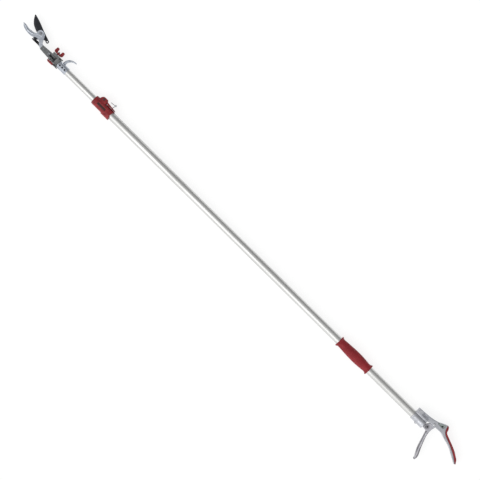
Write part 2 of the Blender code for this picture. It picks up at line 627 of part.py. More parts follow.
def make_clamp_lever(lever):
    """Measured from the cam's axis: the eccentric cam and the arm that lies along the pole."""
    lying = -CAM_Y - BARREL_R - 2 * GAP      # down to the barrel's crown
    cam = arc((0, CAM_OFFSET), CAM_R, 100, -140, 24)
    arm = [(-0.0112, -0.0045), (-0.0130, -0.0016), (-0.0300, 0.0005), (-0.0460, 0.0024),
           (-0.0497, 0.0039), (-0.0500, lying)]
    foot = [(-0.0100, lying), (-0.0072, 0.0040)]
    body = prism("clamp_lever", cam + arm + foot, -CHEEK_INNER + GAP, CHEEK_INNER - GAP, lever,
                 "red_plastic")
    wide = [(-0.0150, -0.0011), (-0.0300, 0.0007), (-0.0458, 0.0026), (-0.0494, 0.0040),
            (-0.0496, lying - 0.0002), (-0.0150, lying - 0.0002)]
    add(body, prism("guide_wide_arm", wide, -0.0095, 0.0095, lever))
    slot = block("cutter_catch_slot", (CATCH_AT[0] - 0.0042, -0.01, -0.0019),
                 (CATCH_AT[0] + 0.0042, CATCH_AT[1] + 0.0024, 0.0019), lever)
    cut(body, slot,
        rod("cutter_lever_pin", -0.03, 0.03, CLAMP_PIN_R + GAP, lever, axis="z", steps=SMALL),
        rod("cutter_catch_pin", -0.03, 0.03, CATCH_PIN_R + GAP, lever, axis="z", centre=CATCH_AT,
            steps=SMALL))
    rod("catch_pin", -0.0090, 0.0090, CATCH_PIN_R, lever, "bright_steel", axis="z", centre=CATCH_AT,
        steps=SMALL)


def make_lever_catch(catch):
    """Flat steel catch: an eye on its pin, a stem, a ring at the end and a short thumb tongue."""
    half = 0.0012
    body = prism("lever_catch", arc((0, 0), 0.0016, 0, 330, 11), -half, half, catch, "bright_steel")
    ring_at = (-0.0032, -0.0133)
    stem = prism("guide_stem", capsule((0, -0.0008), (-0.0028, -0.0112), 0.0009, 4),
                 0.0001 - half, half - 0.0001, catch)
    ring = prism("guide_ring", arc(ring_at, 0.0030, 0, 345, 23), -half, half, catch)
    tongue = prism("guide_tongue", capsule((-0.0012, -0.0122), (0.0140, -0.0106), 0.0008, 4),
                   0.0002 - half, half - 0.0002, catch)
    add(body, stem, ring, tongue)
    cut(body,
        rod("cutter_catch_eye", -0.01, 0.01, CATCH_PIN_R + GAP, catch, axis="z", steps=12),
        rod("cutter_catch_ring", -0.01, 0.01, 0.0014, catch, axis="z", centre=ring_at, steps=SMALL))


# ---------------------------------------------------------------- upper section
HOOK_SLEEVE_REAR = -0.0450
HOOK_SLEEVE_FRONT = -0.0093
HOOK_SLEEVE_WALL = 0.0015
HOOK_PAD = 0.0016               # flat pad above the sleeve, for the screws
HOOK_SCREWS = (-0.017, -0.027, -0.037)
YOKE_REAR = -0.0085
YOKE_SHOULDER = 0.0050           # width of the clamp halves beside the bore
YOKE_WALL_FRONT = 0.0042
YOKE_OVER = 0.0024              # metal above the bore
YOKE_UNDER = 0.0012             # metal below the bore
YOKE_SCREW_BORE_R = 0.0018
EAR_R = 0.0138
WING_EAR = (-0.0170, -0.0090)
CAP_EAR = (0.0080, UPPER_TUBE_R + 0.0007)
YOKE_SCREW_X = -0.0040


def make_upper_tube(upper):
    tube("upper_tube", -UPPER_TUBE_LENGTH, 0, UPPER_TUBE_R, UPPER_TUBE_BORE, upper, "tube_aluminium",
         steps=FINE)
    rear = -UPPER_TUBE_LENGTH
    bore = LOWER_ROD_R + 0.0007
    shape = [(rear - 0.006, bore), (rear - 0.006, LOWER_TUBE_BORE - GAP),
             (rear - GAP, LOWER_TUBE_BORE - GAP), (rear - GAP, UPPER_TUBE_BORE - GAP),
             (rear + 0.015, UPPER_TUBE_BORE - GAP), (rear + 0.015, bore)]
    turned("upper_tube_glide", shape, upper, "white_plastic")


def make_branch_hook(upper):
    """Sleeve on the upper tube with a curved hook for pulling branches, and three set screws."""
    bore = UPPER_TUBE_R + GAP
    radius = bore + HOOK_SLEEVE_WALL
    body = rod("branch_hook", HOOK_SLEEVE_REAR, HOOK_SLEEVE_FRONT, radius, upper, "hook_steel",
               steps=FINE)
    pad = block("guide_pad", (HOOK_SLEEVE_REAR + 0.003, -0.0045, 0.004),
                (HOOK_SLEEVE_FRONT - 0.002, 0.0055, radius + HOOK_PAD), upper)
    root_y = -bore - 0.0004         # inside the sleeve's wall
    outer = smooth([(-0.0172, root_y), (-0.0185, root_y - 0.0110), (-0.0225, root_y - 0.0190),
                    (-0.0300, root_y - 0.0245), (-0.0400, root_y - 0.0275),
                    (-0.0500, root_y - 0.0288)], 4)
    inner = smooth([(-0.0500, root_y - 0.0248), (-0.0400, root_y - 0.0232),
                    (-0.0325, root_y - 0.0200), (-0.0280, root_y - 0.0150),
                    (-0.0265, root_y - 0.0080), (-0.0285, root_y)], 4)
    add(body, pad, prism("guide_hook", outer + inner, -0.003, 0.003, upper))
    holes = []
    for k, x in enumerate(HOOK_SCREWS):
        holes.append(rod(f"cutter_hook_screw_{k}", 0.005, 0.02, 0.0018, upper, axis="z",
                         centre=(x, 0.0005), steps=SMALL))
        screw(f"hook_screw_{k + 1}", UPPER_TUBE_R + GAP, radius + HOOK_PAD + GAP, radius + 0.0038,
              0.0015, 0.0026, upper, "black_steel", centre=(x, 0.0005))
    cut(body, *holes, rod("cutter_hook_bore", HOOK_SLEEVE_REAR - 0.002, HOOK_SLEEVE_FRONT + 0.002, bore,
                          upper, steps=FINE))


def make_tilt_yoke(upper):
    """Upper clamp half, front wall and the two ears that the head turns between."""
    bore = UPPER_TUBE_R + GAP
    top = bore + YOKE_OVER
    under = -(bore + YOKE_UNDER)
    half = bore + YOKE_SHOULDER
    body = block("tilt_yoke", (YOKE_REAR, -half, 0.00015), (-0.0006, half, top), upper, "head_grey")
    wall = block("guide_wall", (GAP, WING_EAR[0] + 0.0001, under),
                 (YOKE_WALL_FRONT, CAP_EAR[1] - 0.0001, top - 0.0004), upper)
    bridge = block("guide_bridge", (-0.0020, WING_EAR[0] + 0.0002, 0.00015),
                   (0.0010, CAP_EAR[1] - 0.0002, top - 0.0002), upper)
    parts = [wall, bridge]
    for side, (low, high) in (("wing", WING_EAR), ("cap", CAP_EAR)):
        outline = ([(GAP, under)] + arc((TILT_AXIS_AHEAD, 0), EAR_R, -70, 70, 16)
                   + [(GAP, 0.0128)])
        parts.append(prism(f"guide_{side}_ear", outline, low, high, upper, axis="y"))
    parts.append(block("guide_wing_tab", (-0.0132, -half - 0.0008, 0.0010),
                       (-0.0020, -half + 0.002, 0.0070), upper))
    parts.append(block("guide_cap_tab", (-0.0160, half - 0.0030, 0.0010), (-0.0020, half, 0.0060), upper))
    add(body, *parts)
    cut(body,
        rod("cutter_yoke_bore", YOKE_REAR - 0.004, GAP, bore, upper, steps=FINE),
        rod("cutter_cable_way", -0.002, 0.012, UPPER_ROD_R, upper, steps=MEDIUM),
        rod("cutter_tilt_hole", -0.03, 0.03, TILT_BOLT_R + GAP, upper, axis="y",
            centre=(TILT_AXIS_AHEAD, 0), steps=MEDIUM),
        *[rod(f"cutter_yoke_screw_{k}", -0.02, 0.03, YOKE_SCREW_BORE_R, upper, axis="z",
              centre=(YOKE_SCREW_X, y), steps=SMALL) for k, y in enumerate(yoke_screw_rows())])


def yoke_screw_rows():
    offset = UPPER_TUBE_R + GAP + 0.0024      # from the pole's axis, clear of its bore
    return (-offset, offset)


def make_yoke_cap(upper):
    """Lower clamp half, drawn up to the yoke by two screws."""
    bore = UPPER_TUBE_R + GAP
    half = bore + YOKE_SHOULDER
    under = -(bore + YOKE_UNDER)
    body = block("yoke_clamp_cap", (YOKE_REAR, -half, under), (-0.0006, half, -0.00015), upper,
                 "head_grey")
    cut(body, rod("cutter_cap_bore", YOKE_REAR - 0.004, 0.004, bore, upper, steps=FINE),
        *[rod(f"cutter_cap_screw_{k}", -0.02, 0.03, YOKE_SCREW_BORE_R, upper, axis="z",
              centre=(YOKE_SCREW_X, y), steps=SMALL) for k, y in enumerate(yoke_screw_rows())])
    top = bore + YOKE_OVER
    for k, y in enumerate(yoke_screw_rows()):
        screw(f"yoke_screw_{k + 1}", under + 0.0002, top + GAP, top + 0.0026, 0.0015, 0.0028, upper,
              "black_steel", centre=(YOKE_SCREW_X, y))


def make_tilt_cap(upper):
    """Red domed cap that holds the plain end of the tilt axis, with its bolt moulded in."""
    ear = CAP_EAR[1] + GAP
    cap_r = 0.0126
    shape = [(ear, 0), (ear, cap_r - 0.0003), (ear + 0.0010, cap_r), (ear + 0.0032, cap_r),
             (ear + 0.0052, cap_r - 0.0016), (ear + 0.0064, cap_r - 0.0045), (ear + 0.0067, 0)]
    cap = turned("tilt_cap", shape, upper, "red_plastic", axis="y", centre=(TILT_AXIS_AHEAD, 0),
                 steps=FINE)
    cut(cap, rod("cutter_cap_bolt", 0, ear + 0.0032, TILT_BOLT_R + GAP, upper, axis="y",
                 centre=(TILT_AXIS_AHEAD, 0), steps=MEDIUM))
    rod("tilt_bolt", CABLE_SLOT_HALF + 0.0002, ear + 0.0029, TILT_BOLT_R, upper, "bright_steel",
        axis="y", centre=(TILT_AXIS_AHEAD, 0), steps=MEDIUM)


# ---------------------------------------------------------------- head, from the tilt axis
TONGUE_REAR = 0.0210
ARM_START = 0.0145
ARM_RIVETS = (0.0200, 0.0415)
RIVET_Y = -0.0005
ARM_HALF = 0.0081                # half height of the arm's channel
TAIL_RIVET_BORE_R = 0.0020
HOOK_TAIL_HALF = 0.0055


def make_head_arm(head):
    """Two knuckle discs and a channel, open below, that carries the fixed hook."""
    discs = prism("head_arm", arc((0, 0), KNUCKLE_R, 90, 270, 18) + [(ARM_START + 0.004, -KNUCKLE_R),
                                                                    (ARM_START + 0.004, KNUCKLE_R)],
                  WING_EAR[1] + GAP, CAP_EAR[0] - GAP, head, "head_grey", axis="y")
    sides = [(ARM_START, -0.0093), (0.0180, -0.0097), (HEAD_LENGTH, -0.0077), (HEAD_LENGTH, 0.0075),
             (0.0180, 0.0097), (ARM_START, 0.0093)]
    add(discs, prism("guide_channel", sides, -ARM_HALF, ARM_HALF, head))
    inside = [(0.0162, -0.0079), (HEAD_LENGTH + 0.002, -0.0059), (HEAD_LENGTH + 0.002, 0.0059),
              (0.0162, 0.0079)]
    holes = [rod(f"cutter_arm_rivet_{k}", 0, 0.02, TAIL_RIVET_BORE_R, head, axis="z", centre=(x, RIVET_Y),
                 steps=SMALL) for k, x in enumerate(ARM_RIVETS)]
    cut(discs,
        prism("cutter_channel_inside", inside, -0.010, HOOK_TOP + GAP, head),
        block("cutter_cable_slot", (-0.012, -CABLE_SLOT_HALF, -0.012),
              (0.0172, CABLE_SLOT_HALF, 0.012), head),
        rod("cutter_knuckle_bore", -0.02, 0.02, TILT_BOLT_R + GAP, head, axis="y", steps=MEDIUM),
        *holes)
    for k, x in enumerate(ARM_RIVETS):
        screw(f"arm_rivet_{k + 1}", HOOK_BOTTOM - 0.0006, ARM_HALF + GAP, ARM_HALF + 0.0013, 0.0017,
              0.0050 - 0.0022 * k, head, "bright_steel", centre=(x, RIVET_Y))


def make_counter_blade(head):
    """Cast hook blade: a curved jaw, a round boss at the pivot and a neck into the arm."""
    px, py = BLADE_PIVOT
    jaw_top = smooth([(0.0097, 0.0071), (0.0160, 0.0107), (0.0260, 0.0121), (0.0370, 0.0130),
                      (0.0476, 0.0107), (0.0560, 0.0103), (0.0612, 0.0110)], 3)
    jaw_under = smooth([(0.0614, 0.0118), (0.0580, 0.0150), (0.0520, 0.0200), (0.0400, 0.0243),
                        (0.0290, 0.0257), (0.0150, 0.0250), (0.0076, 0.0221), (0.0030, 0.0178)], 3)
    throat = smooth([(-0.0020, 0.0165), (-0.0085, 0.0180), (-0.0145, 0.0212), (-0.0190, 0.0262),
                     (-0.0240, 0.0305), (-0.0305, 0.0335)], 3)
    tail_half = HOOK_TAIL_HALF
    root = HEAD_LENGTH - px
    tail = [(root, tail_half - py), (ARM_START + 0.0045 - px, tail_half - py),
            (ARM_START + 0.0045 - px, -tail_half - py), (root, -tail_half - py)]
    back = smooth([(-0.0300, 0.0192), (-0.0270, 0.0180), (-0.0230, 0.0136), (-0.0196, 0.0050),
                   (-0.0140, -0.0050), (-0.0095, -0.0090)], 3)
    boss = arc((0, 0), 0.0111, 245, 390, 18)
    outline = shifted(jaw_top + jaw_under + throat + tail + back + boss, px, py)
    body = prism("counter_blade", outline, HOOK_BOTTOM, HOOK_TOP, head, "hook_steel")
    cut(body,
        rod("cutter_hook_pivot", -0.02, 0.02, BLADE_BOLT_R + GAP, head, axis="z",
            centre=BLADE_PIVOT, steps=SMALL),
        *[rod(f"cutter_tail_rivet_{k}", -0.02, 0.02, TAIL_RIVET_BORE_R, head, axis="z", centre=(x, RIVET_Y),
              steps=SMALL) for k, x in enumerate(ARM_RIVETS)])


def make_pivot_bolt(head):
    top = HOOK_TOP + GAP
    tube("blade_pivot_washer", top, top + 0.0010, 0.0068, BLADE_BOLT_R + GAP, head, "hook_steel",
         axis="z", centre=BLADE_PIVOT)
    screw("blade_pivot_bolt", BLADE_BOTTOM - 0.0042, top + 0.0010 + GAP, top + 0.0034, BLADE_BOLT_R,
          0.0046, head, "bright_steel", centre=BLADE_PIVOT)
    hex_nut("blade_pivot_nut", BLADE_BOTTOM - 0.0040, BLADE_BOTTOM - GAP, 0.0052,
            BLADE_BOLT_R + GAP, head, "bright_steel", centre=BLADE_PIVOT)


def make_blade(blade):
    """Measured from its pivot: cutting blade, rear eye and the forked arm that the pin drives."""
    spine = smooth([(0.0530, -0.0298), (0.0500, -0.0310), (0.0390, -0.0280), (0.0240, -0.0230),
                    (0.0140, -0.0190), (0.0040, -0.0148), (-0.0110, -0.0092), (-0.0260, -0.0040),
                    (-0.0310, -0.0020)], 3)
    eye_at = (-0.0315, 0.0035)
    eye = arc(eye_at, 0.0055, 260, 105, 12)
    tail = smooth([(-0.0295, 0.0080), (-0.0255, 0.0062), (-0.0190, 0.0075), (-0.0120, 0.0120),
                   (-0.0085, 0.0170)], 2)
    angle = math.degrees(math.atan2(DRIVE_ARM, DRIVE_PIN_ALONG))
    unit = Vector((math.cos(math.radians(angle)), math.sin(math.radians(angle))))
    side = Vector((-unit.y, unit.x))
    fork_half = DRIVE_PIN_R + PIN_SLOT_PLAY + 0.0019
    fork_end = 0.0312
    fork = [tuple(unit * 0.0235 + side * fork_half), tuple(unit * fork_end + side * fork_half),
            tuple(unit * fork_end - side * fork_half), tuple(unit * 0.0200 - side * fork_half)]
    edge = smooth([(0.0075, 0.0100), (0.0090, 0.0050), (0.0140, 0.0045), (0.0240, 0.0005),
                   (0.0340, -0.0050), (0.0440, -0.0150), (0.0530, -0.0285)], 3)
    body = prism("blade", spine[:-1] + eye + tail + fork + edge, BLADE_BOTTOM, BLADE_TOP, blade,
                 "blade_black")
    slot = capsule(tuple(unit * (DRIVE_ARM - 0.0003)), tuple(unit * 0.040), DRIVE_PIN_R + PIN_SLOT_PLAY)
    cut(body,
        prism("cutter_fork_slot", slot, -0.02, 0.02, blade),
        rod("cutter_blade_pivot", -0.02, 0.02, BLADE_BOLT_R + GAP, blade, axis="z", steps=SMALL),
        rod("cutter_blade_eye", -0.02, 0.02, 0.0021, blade, axis="z", centre=eye_at, steps=SMALL))


def make_drive_tongue(tongue):
    """Flat bar in the channel that pulls the blade's arm: its pin, and the cable's ferrule."""
    y = PULL_LINE_Y
    front = DRIVE_PIN_X
    nose = arc((front, y), TONGUE_HALF, -90, 90, 10)
    neck = TONGUE_REAR + 0.0150
    outline = nose + [(neck + 0.005, y + TONGUE_HALF), (neck, 0.0028), (neck - 0.004, 0.0028),
                      (neck - 0.004, -0.0028), (neck, -0.0028 + y * 0.5), (neck + 0.005, y - TONGUE_HALF)]
    body = prism("drive_tongue", outline, TONGUE_BOTTOM, TONGUE_TOP, tongue, "black_steel")
    add(body,
        rod("guide_ferrule", TONGUE_REAR, neck - 0.002, 0.0027, tongue, centre=(0, TONGUE_MIDDLE),
            steps=SMALL),
        rod("guide_lump", TONGUE_BOTTOM + 0.0005, BLADE_TOP - 0.0003, 0.0040, tongue, axis="z",
            centre=(front - 0.0193, y)))
    cut(body,
        rod("cutter_drive_pin", -0.02, 0.02, DRIVE_PIN_R + GAP, tongue, axis="z", centre=(front, y),
            steps=SMALL),
        rod("cutter_cable_end", TONGUE_REAR - 0.002, TONGUE_REAR + 0.0064, CABLE_R + GAP, tongue,
            centre=(0, TONGUE_MIDDLE), steps=SMALL))
    head_seat = TONGUE_BOTTOM - GAP
    shape = [(head_seat - 0.0014, 0), (head_seat - 0.0014, 0.0027), (head_seat, 0.0027),
             (head_seat, DRIVE_PIN_R), (BLADE_TOP + 0.0008, DRIVE_PIN_R), (BLADE_TOP + 0.0008, 0)]
    turned("drive_pin", shape, tongue, "bright_steel", axis="z", centre=(front, y), steps=SMALL)


# ---------------------------------------------------------------- wing knob
def make_wing_knob(knob):
    """Measured along the tilt axis: a hub and two upright wings, seen as a U."""
    seat = WING_EAR[0] - 0.0012
    hub_top = seat - 0.0046
    outline = [(-0.0163, seat - 0.0050), (-0.0150, seat - 0.0165), (-0.0105, seat - 0.0172),
               (-0.0065, seat - 0.0160), (-0.0055, hub_top - 0.0020), (-0.0030, hub_top),
               (0.0030, hub_top), (0.0055, hub_top - 0.0020), (0.0065, seat - 0.0160),
               (0.0105, seat - 0.0172), (0.0150, seat - 0.0165), (0.0163, seat - 0.0050),
               (0.0140, seat - 0.0012), (0.0100, seat), (-0.0100, seat), (-0.0140, seat - 0.0012)]
    wings = prism("wing_knob", outline, -0.0042, 0.0042, knob, "red_plastic")
    add(wings, rod("guide_knob_hub", seat - 0.0044, seat + 0.0001, 0.0098, knob, axis="y"))
    cut(wings, rod("cutter_knob_bore", -0.05, 0.02, TILT_BOLT_R + GAP, knob, axis="y", steps=MEDIUM))
    tube("knob_washer", WING_EAR[0] - 0.0008, WING_EAR[0] - GAP, 0.0078, TILT_BOLT_R + GAP, knob,
         "bright_steel", axis="y")


def make_wing_stud(head):
    """Threaded stud fixed in the head's knuckle; the wing knob turns on it."""
    shape = [(-0.0272, 0), (-0.0272, TILT_BOLT_R - 0.0006), (-0.0264, TILT_BOLT_R),
             (-CABLE_SLOT_HALF - 0.0002, TILT_BOLT_R), (-CABLE_SLOT_HALF - 0.0002, 0)]
    turned("wing_stud", shape, head, "black_steel", axis="y", steps=MEDIUM)


# ---------------------------------------------------------------- assembly
def build():
    clear_scene()
    root = empty("pole_frame", None, (0, 0, 0))

    make_lower_tube(root)
    make_grip_sleeve(root)
    make_rod_guide(root)
    make_return_spring(root)

    handle = empty("handle_group", root, (LEVER_PIVOT_X, -HANDLE_DROP, 0))
    make_handle_frame(handle)
    make_handle_insert(handle)
    make_handle_fasteners(handle)
    make_horn_panel(handle)
    lever = empty("squeeze_axis", root, (LEVER_PIVOT_X, -HANDLE_DROP, 0))
    make_squeeze_lever(lever)
    make_lower_rod(empty("lower_rod_axis", root, (ROD_PIN_X, 0, 0)))

    clamp = empty("clamp_group", root, (TUBE_FRONT, 0, 0))
    make_clamp_body(clamp)
    make_clamp_small_parts(clamp)
    make_end_wiper(clamp)
    make_brake_shoe(empty("shoe_axis", clamp, (-CAM_BACK, 0, 0)))
    cam = empty("clamp_lever_axis", clamp, (-CAM_BACK, CAM_Y, 0))
    make_clamp_lever(cam)
    make_lever_catch(empty("catch_axis", cam, (*CATCH_AT, 0)))

    upper = empty("extension_axis", root, (UPPER_FRONT, 0, 0))
    make_upper_tube(upper)
    make_branch_hook(upper)
    make_tilt_yoke(upper)
    make_yoke_cap(upper)
    make_tilt_cap(upper)
    make_upper_rod(empty("upper_rod_axis", upper, (0, 0, 0)))

    head = empty("tilt_axis", upper, (TILT_AXIS_AHEAD, 0, 0))
    make_head_arm(head)
    make_counter_blade(head)
    make_pivot_bolt(head)
    make_wing_stud(head)
    make_wing_knob(empty("knob_axis", head, (0, 0, 0)))
    make_drive_tongue(empty("tongue_axis", head, (0, 0, 0)))
    make_blade(empty("blade_axis", head, (*BLADE_PIVOT, 0)))
    stand_on_surface(root)


def stand_on_surface(root):
    """Moves the whole object so that the middle of its footprint is the origin."""
    bpy.context.view_layer.update()
    graph = bpy.context.evaluated_depsgraph_get()
    corners = [obj.matrix_world @ vertex.co
               for obj in bpy.context.scene.objects
               if obj.type in {"MESH", "CURVE"} and not obj.hide_render
               for vertex in obj.evaluated_get(graph).to_mesh().vertices]
    low = Vector(min(c[i] for c in corners) for i in range(3))
    high = Vector(max(c[i] for c in corners) for i in range(3))
    root.location = (-(low.x + high.x) / 2, -(low.y + high.y) / 2, -low.z)
    bpy.context.view_layer.update()


build()
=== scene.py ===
import json
import math

import bpy
import numpy as np
from mathutils import Matrix, Vector


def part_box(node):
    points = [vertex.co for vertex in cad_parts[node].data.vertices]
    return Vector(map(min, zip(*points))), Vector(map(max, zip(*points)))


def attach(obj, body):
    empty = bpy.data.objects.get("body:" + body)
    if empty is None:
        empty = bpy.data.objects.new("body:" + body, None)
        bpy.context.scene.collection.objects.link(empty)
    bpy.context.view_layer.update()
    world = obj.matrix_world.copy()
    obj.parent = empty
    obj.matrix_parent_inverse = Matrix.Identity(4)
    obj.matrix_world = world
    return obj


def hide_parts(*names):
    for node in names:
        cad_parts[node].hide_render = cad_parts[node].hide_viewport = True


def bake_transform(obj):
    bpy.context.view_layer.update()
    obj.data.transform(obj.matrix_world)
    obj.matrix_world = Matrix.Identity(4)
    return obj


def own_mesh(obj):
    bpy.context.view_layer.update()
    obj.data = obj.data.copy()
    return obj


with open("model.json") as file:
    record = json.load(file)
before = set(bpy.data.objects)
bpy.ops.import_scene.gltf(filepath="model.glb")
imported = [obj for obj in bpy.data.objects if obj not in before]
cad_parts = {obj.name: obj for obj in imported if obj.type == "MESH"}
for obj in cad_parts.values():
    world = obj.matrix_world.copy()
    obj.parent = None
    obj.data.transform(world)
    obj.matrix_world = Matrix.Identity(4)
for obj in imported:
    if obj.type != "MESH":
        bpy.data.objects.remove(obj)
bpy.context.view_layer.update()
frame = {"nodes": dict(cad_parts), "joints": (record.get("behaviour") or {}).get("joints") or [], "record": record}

# ------------------------------------------------------------------ places and sizes, in metres
MM = 0.001
PLACE = {joint["name"]: np.array(joint["pos_m"]) for joint in frame["joints"] if "pos_m" in joint}
PIVOT = PLACE["squeeze"]            # squeeze lever's bolt
CAM = PLACE["clamp_open"]           # clamp lever's pin
CATCH = PLACE["catch_flip"]
TILT = PLACE["head_tilt"]           # on the pole's axis
BLADE = PLACE["blade_close"]
AXIS_Y, AXIS_Z = TILT[1], TILT[2]
LOWER_LOW, LOWER_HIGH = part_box("lower_tube")
UPPER_LOW, UPPER_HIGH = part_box("upper_tube")
FLOOR_GAP = 0.3 * MM                # the floor lies this far below the tool
SMOOTH_ANGLE = math.radians(35)


def at_pole(x):
    """A place on the pole's axis."""
    return np.array((x, AXIS_Y, AXIS_Z))


# ------------------------------------------------------------------ curves, as whole arrays, in millimetres
def rounded(points, radius, steps=4, closed=True):
    """Each corner c becomes the curve (1-t)^2 a + 2t(1-t) c + t^2 b, with a and b on its two sides."""
    corner = np.asarray(points, float)
    before, after = np.roll(corner, 1, axis=0) - corner, np.roll(corner, -1, axis=0) - corner
    reach = [np.minimum(radius, 0.45 * np.linalg.norm(side, axis=1))[:, None] for side in (before, after)]
    a = corner + before / np.linalg.norm(before, axis=1)[:, None] * reach[0]
    b = corner + after / np.linalg.norm(after, axis=1)[:, None] * reach[1]
    t = np.linspace(0, 1, steps + 1)[None, :, None]
    curve = (1 - t) ** 2 * a[:, None] + 2 * t * (1 - t) * corner[:, None] + t ** 2 * b[:, None]
    if closed:
        return curve.reshape(-1, 2)
    return np.concatenate([corner[:1], curve[1:-1].reshape(-1, 2), corner[-1:]])


def resampled(points, count, closed=False):
    """The same line with its points evenly spaced."""
    line = np.concatenate([points, points[:1]]) if closed else points
    length = np.concatenate([[0], np.cumsum(np.linalg.norm(np.diff(line, axis=0), axis=1))])
    places = np.linspace(0, length[-1], count, endpoint=not closed)
    return np.stack([np.interp(places, length, line[:, k]) for k in range(line.shape[1])], axis=1)


def smooth(points, count):
    """A Catmull-Rom curve through the points: four neighbours weighted by cubics of t."""
    p = np.asarray(points, float)
    p = np.concatenate([2 * p[:1] - p[1:2], p, 2 * p[-1:] - p[-2:-1]])
    t = np.linspace(0, 1, 12, endpoint=False)[None, :, None]
    a, b, c, d = (p[k:len(p) - 3 + k, None] for k in range(4))
    line = 0.5 * (2 * b + (c - a) * t + (2 * a - 5 * b + 4 * c - d) * t ** 2
                  + (3 * b - a - 3 * c + d) * t ** 3)
    return resampled(np.concatenate([line.reshape(-1, p.shape[1]), p[-2:-1]]), count)


def arc(centre, radius, start, end, steps=16):
    """Points on a circle between two angles in degrees."""
    angle = np.radians(np.linspace(start, end, steps + 1))
    return np.asarray(centre) + radius * np.stack([np.cos(angle), np.sin(angle)], axis=1)


def capsule(start, end, radius, steps=10):
    """A slot's outline: two half circles round the ends of a line."""
    turn = math.degrees(math.atan2(end[1] - start[1], end[0] - start[0]))
    return np.concatenate([arc(end, radius, turn - 90, turn + 90, steps),
                           arc(start, radius, turn + 90, turn + 270, steps)])


def normals(line, closed):
    """Unit vectors to the left of each point's direction."""
    step = np.roll(line, -1, axis=0) - np.roll(line, 1, axis=0) if closed else np.gradient(line, axis=0)
    left = np.stack([-step[:, 1], step[:, 0]], axis=1)
    return left / np.maximum(np.linalg.norm(left, axis=1), 1e-12)[:, None]


def area(outline):
    """Signed area, half the sum of x dy - y dx round the outline: positive when it runs anticlockwise."""
    x, y = outline.T
    return 0.5 * np.sum(x * np.roll(y, -1) - y * np.roll(x, -1))


# ------------------------------------------------------------------ closed surfaces
def on(axis, along, u, v):
    """A grid of points at 'along' on an axis and u, v across it."""
    order = {"x": (along, u, v), "y": (u, along, v), "z": (u, v, along)}[axis]
    return np.stack(np.broadcast_arrays(*order), axis=-1)


def closed_solid(name, grid, loop=False):
    """Rows of closed rings joined by quads; flat ends unless the rows loop. Faces end up outwards."""
    rows, columns = grid.shape[:2]
    i, j = np.meshgrid(np.arange(rows if loop else rows - 1), np.arange(columns), indexing="ij")
    k, m = (i + 1) % rows, (j + 1) % columns
    quads = np.stack([i * columns + j, i * columns + m, k * columns + m, k * columns + j], axis=-1)
    quads = quads.reshape(-1, 4)
    points = grid.reshape(-1, 3)
    caps = [] if loop else [np.arange(columns)[::-1], np.arange(columns) + (rows - 1) * columns]
    fans = [np.stack([np.full(columns - 2, cap[0]), cap[1:-1], cap[2:]], axis=-1) for cap in caps]
    triangles = np.concatenate([quads[:, [0, 1, 2]], quads[:, [0, 2, 3]], *fans])
    a, b, c = (points[triangles[:, n]] - points.mean(axis=0) for n in range(3))
    outwards = np.einsum("ij,ij->", a, np.cross(b, c)) > 0
    faces = quads.tolist() + [cap.tolist() for cap in caps]
    if not outwards:
        faces = [face[::-1] for face in faces]
    mesh = bpy.data.meshes.new(name)
    mesh.from_pydata(points.tolist(), [], faces)
    return placed(name, mesh)


def placed(name, mesh):
    """Makes the mesh an object at the origin, smooth except across sharp angles."""
    mesh.shade_smooth()
    mesh.set_sharp_from_angle(angle=SMOOTH_ANGLE)
    obj = bpy.data.objects.new(name, mesh)
    bpy.context.scene.collection.objects.link(obj)
    return obj


def turned(name, profile, place, axis="x", steps=64, sides=0, loop=False, flutes=0):
    """A profile of (along, radius) round an axis. With sides, the ring is a polygon,
    r cos(pi/n) / cos(angle from the nearest flat); with flutes, r + depth cos(n angle),
    where depth is the profile's third column."""
    profile = np.asarray(profile, float)
    angle = np.linspace(0, 2 * math.pi, steps, endpoint=False)
    shape = np.ones(steps)
    if sides:
        sector = (angle + math.pi / sides) % (2 * math.pi / sides) - math.pi / sides
        shape = math.cos(math.pi / sides) / np.cos(sector)
    radius = profile[:, 1:2] * shape
    if flutes:
        radius = radius + profile[:, 2:3] * np.cos(flutes * angle)
    grid = on(axis, profile[:, :1], radius * np.cos(angle), radius * np.sin(angle))
    return closed_solid(name, grid * MM + place, loop)


def slab(name, outline, low, high, edge, place, axis="z", steps=3):
    """A plate whose rim is a quarter round: inset e(1 - sin a) at height e(1 - cos a)."""
    outline = np.asarray(outline, float)
    inwards = normals(outline, True) * (1 if area(outline) > 0 else -1)
    a = np.linspace(0, math.pi / 2, steps + 1) if edge else np.array([math.pi / 2])
    inset = edge * (1 - np.sin(a))
    rise = edge * (1 - np.cos(a))
    inset, height = np.concatenate([inset, inset[::-1]]), np.concatenate([low + rise, (high - rise)[::-1]])
    rings = outline[None] + inwards[None] * inset[:, None, None]
    grid = on(axis, height[:, None], rings[..., 0], rings[..., 1])
    return closed_solid(name, grid * MM + place)


def block(name, low, high, place, edge=0.0, corner=0.0):
    """A box between two corners, as a plate with a rounded rim."""
    (x0, y0, z0), (x1, y1, z1) = low, high
    outline = np.array([(x0, y0), (x1, y0), (x1, y1), (x0, y1)], float)
    if corner:
        outline = rounded(outline, corner)
    return slab(name, outline, z0, z1, edge, place)


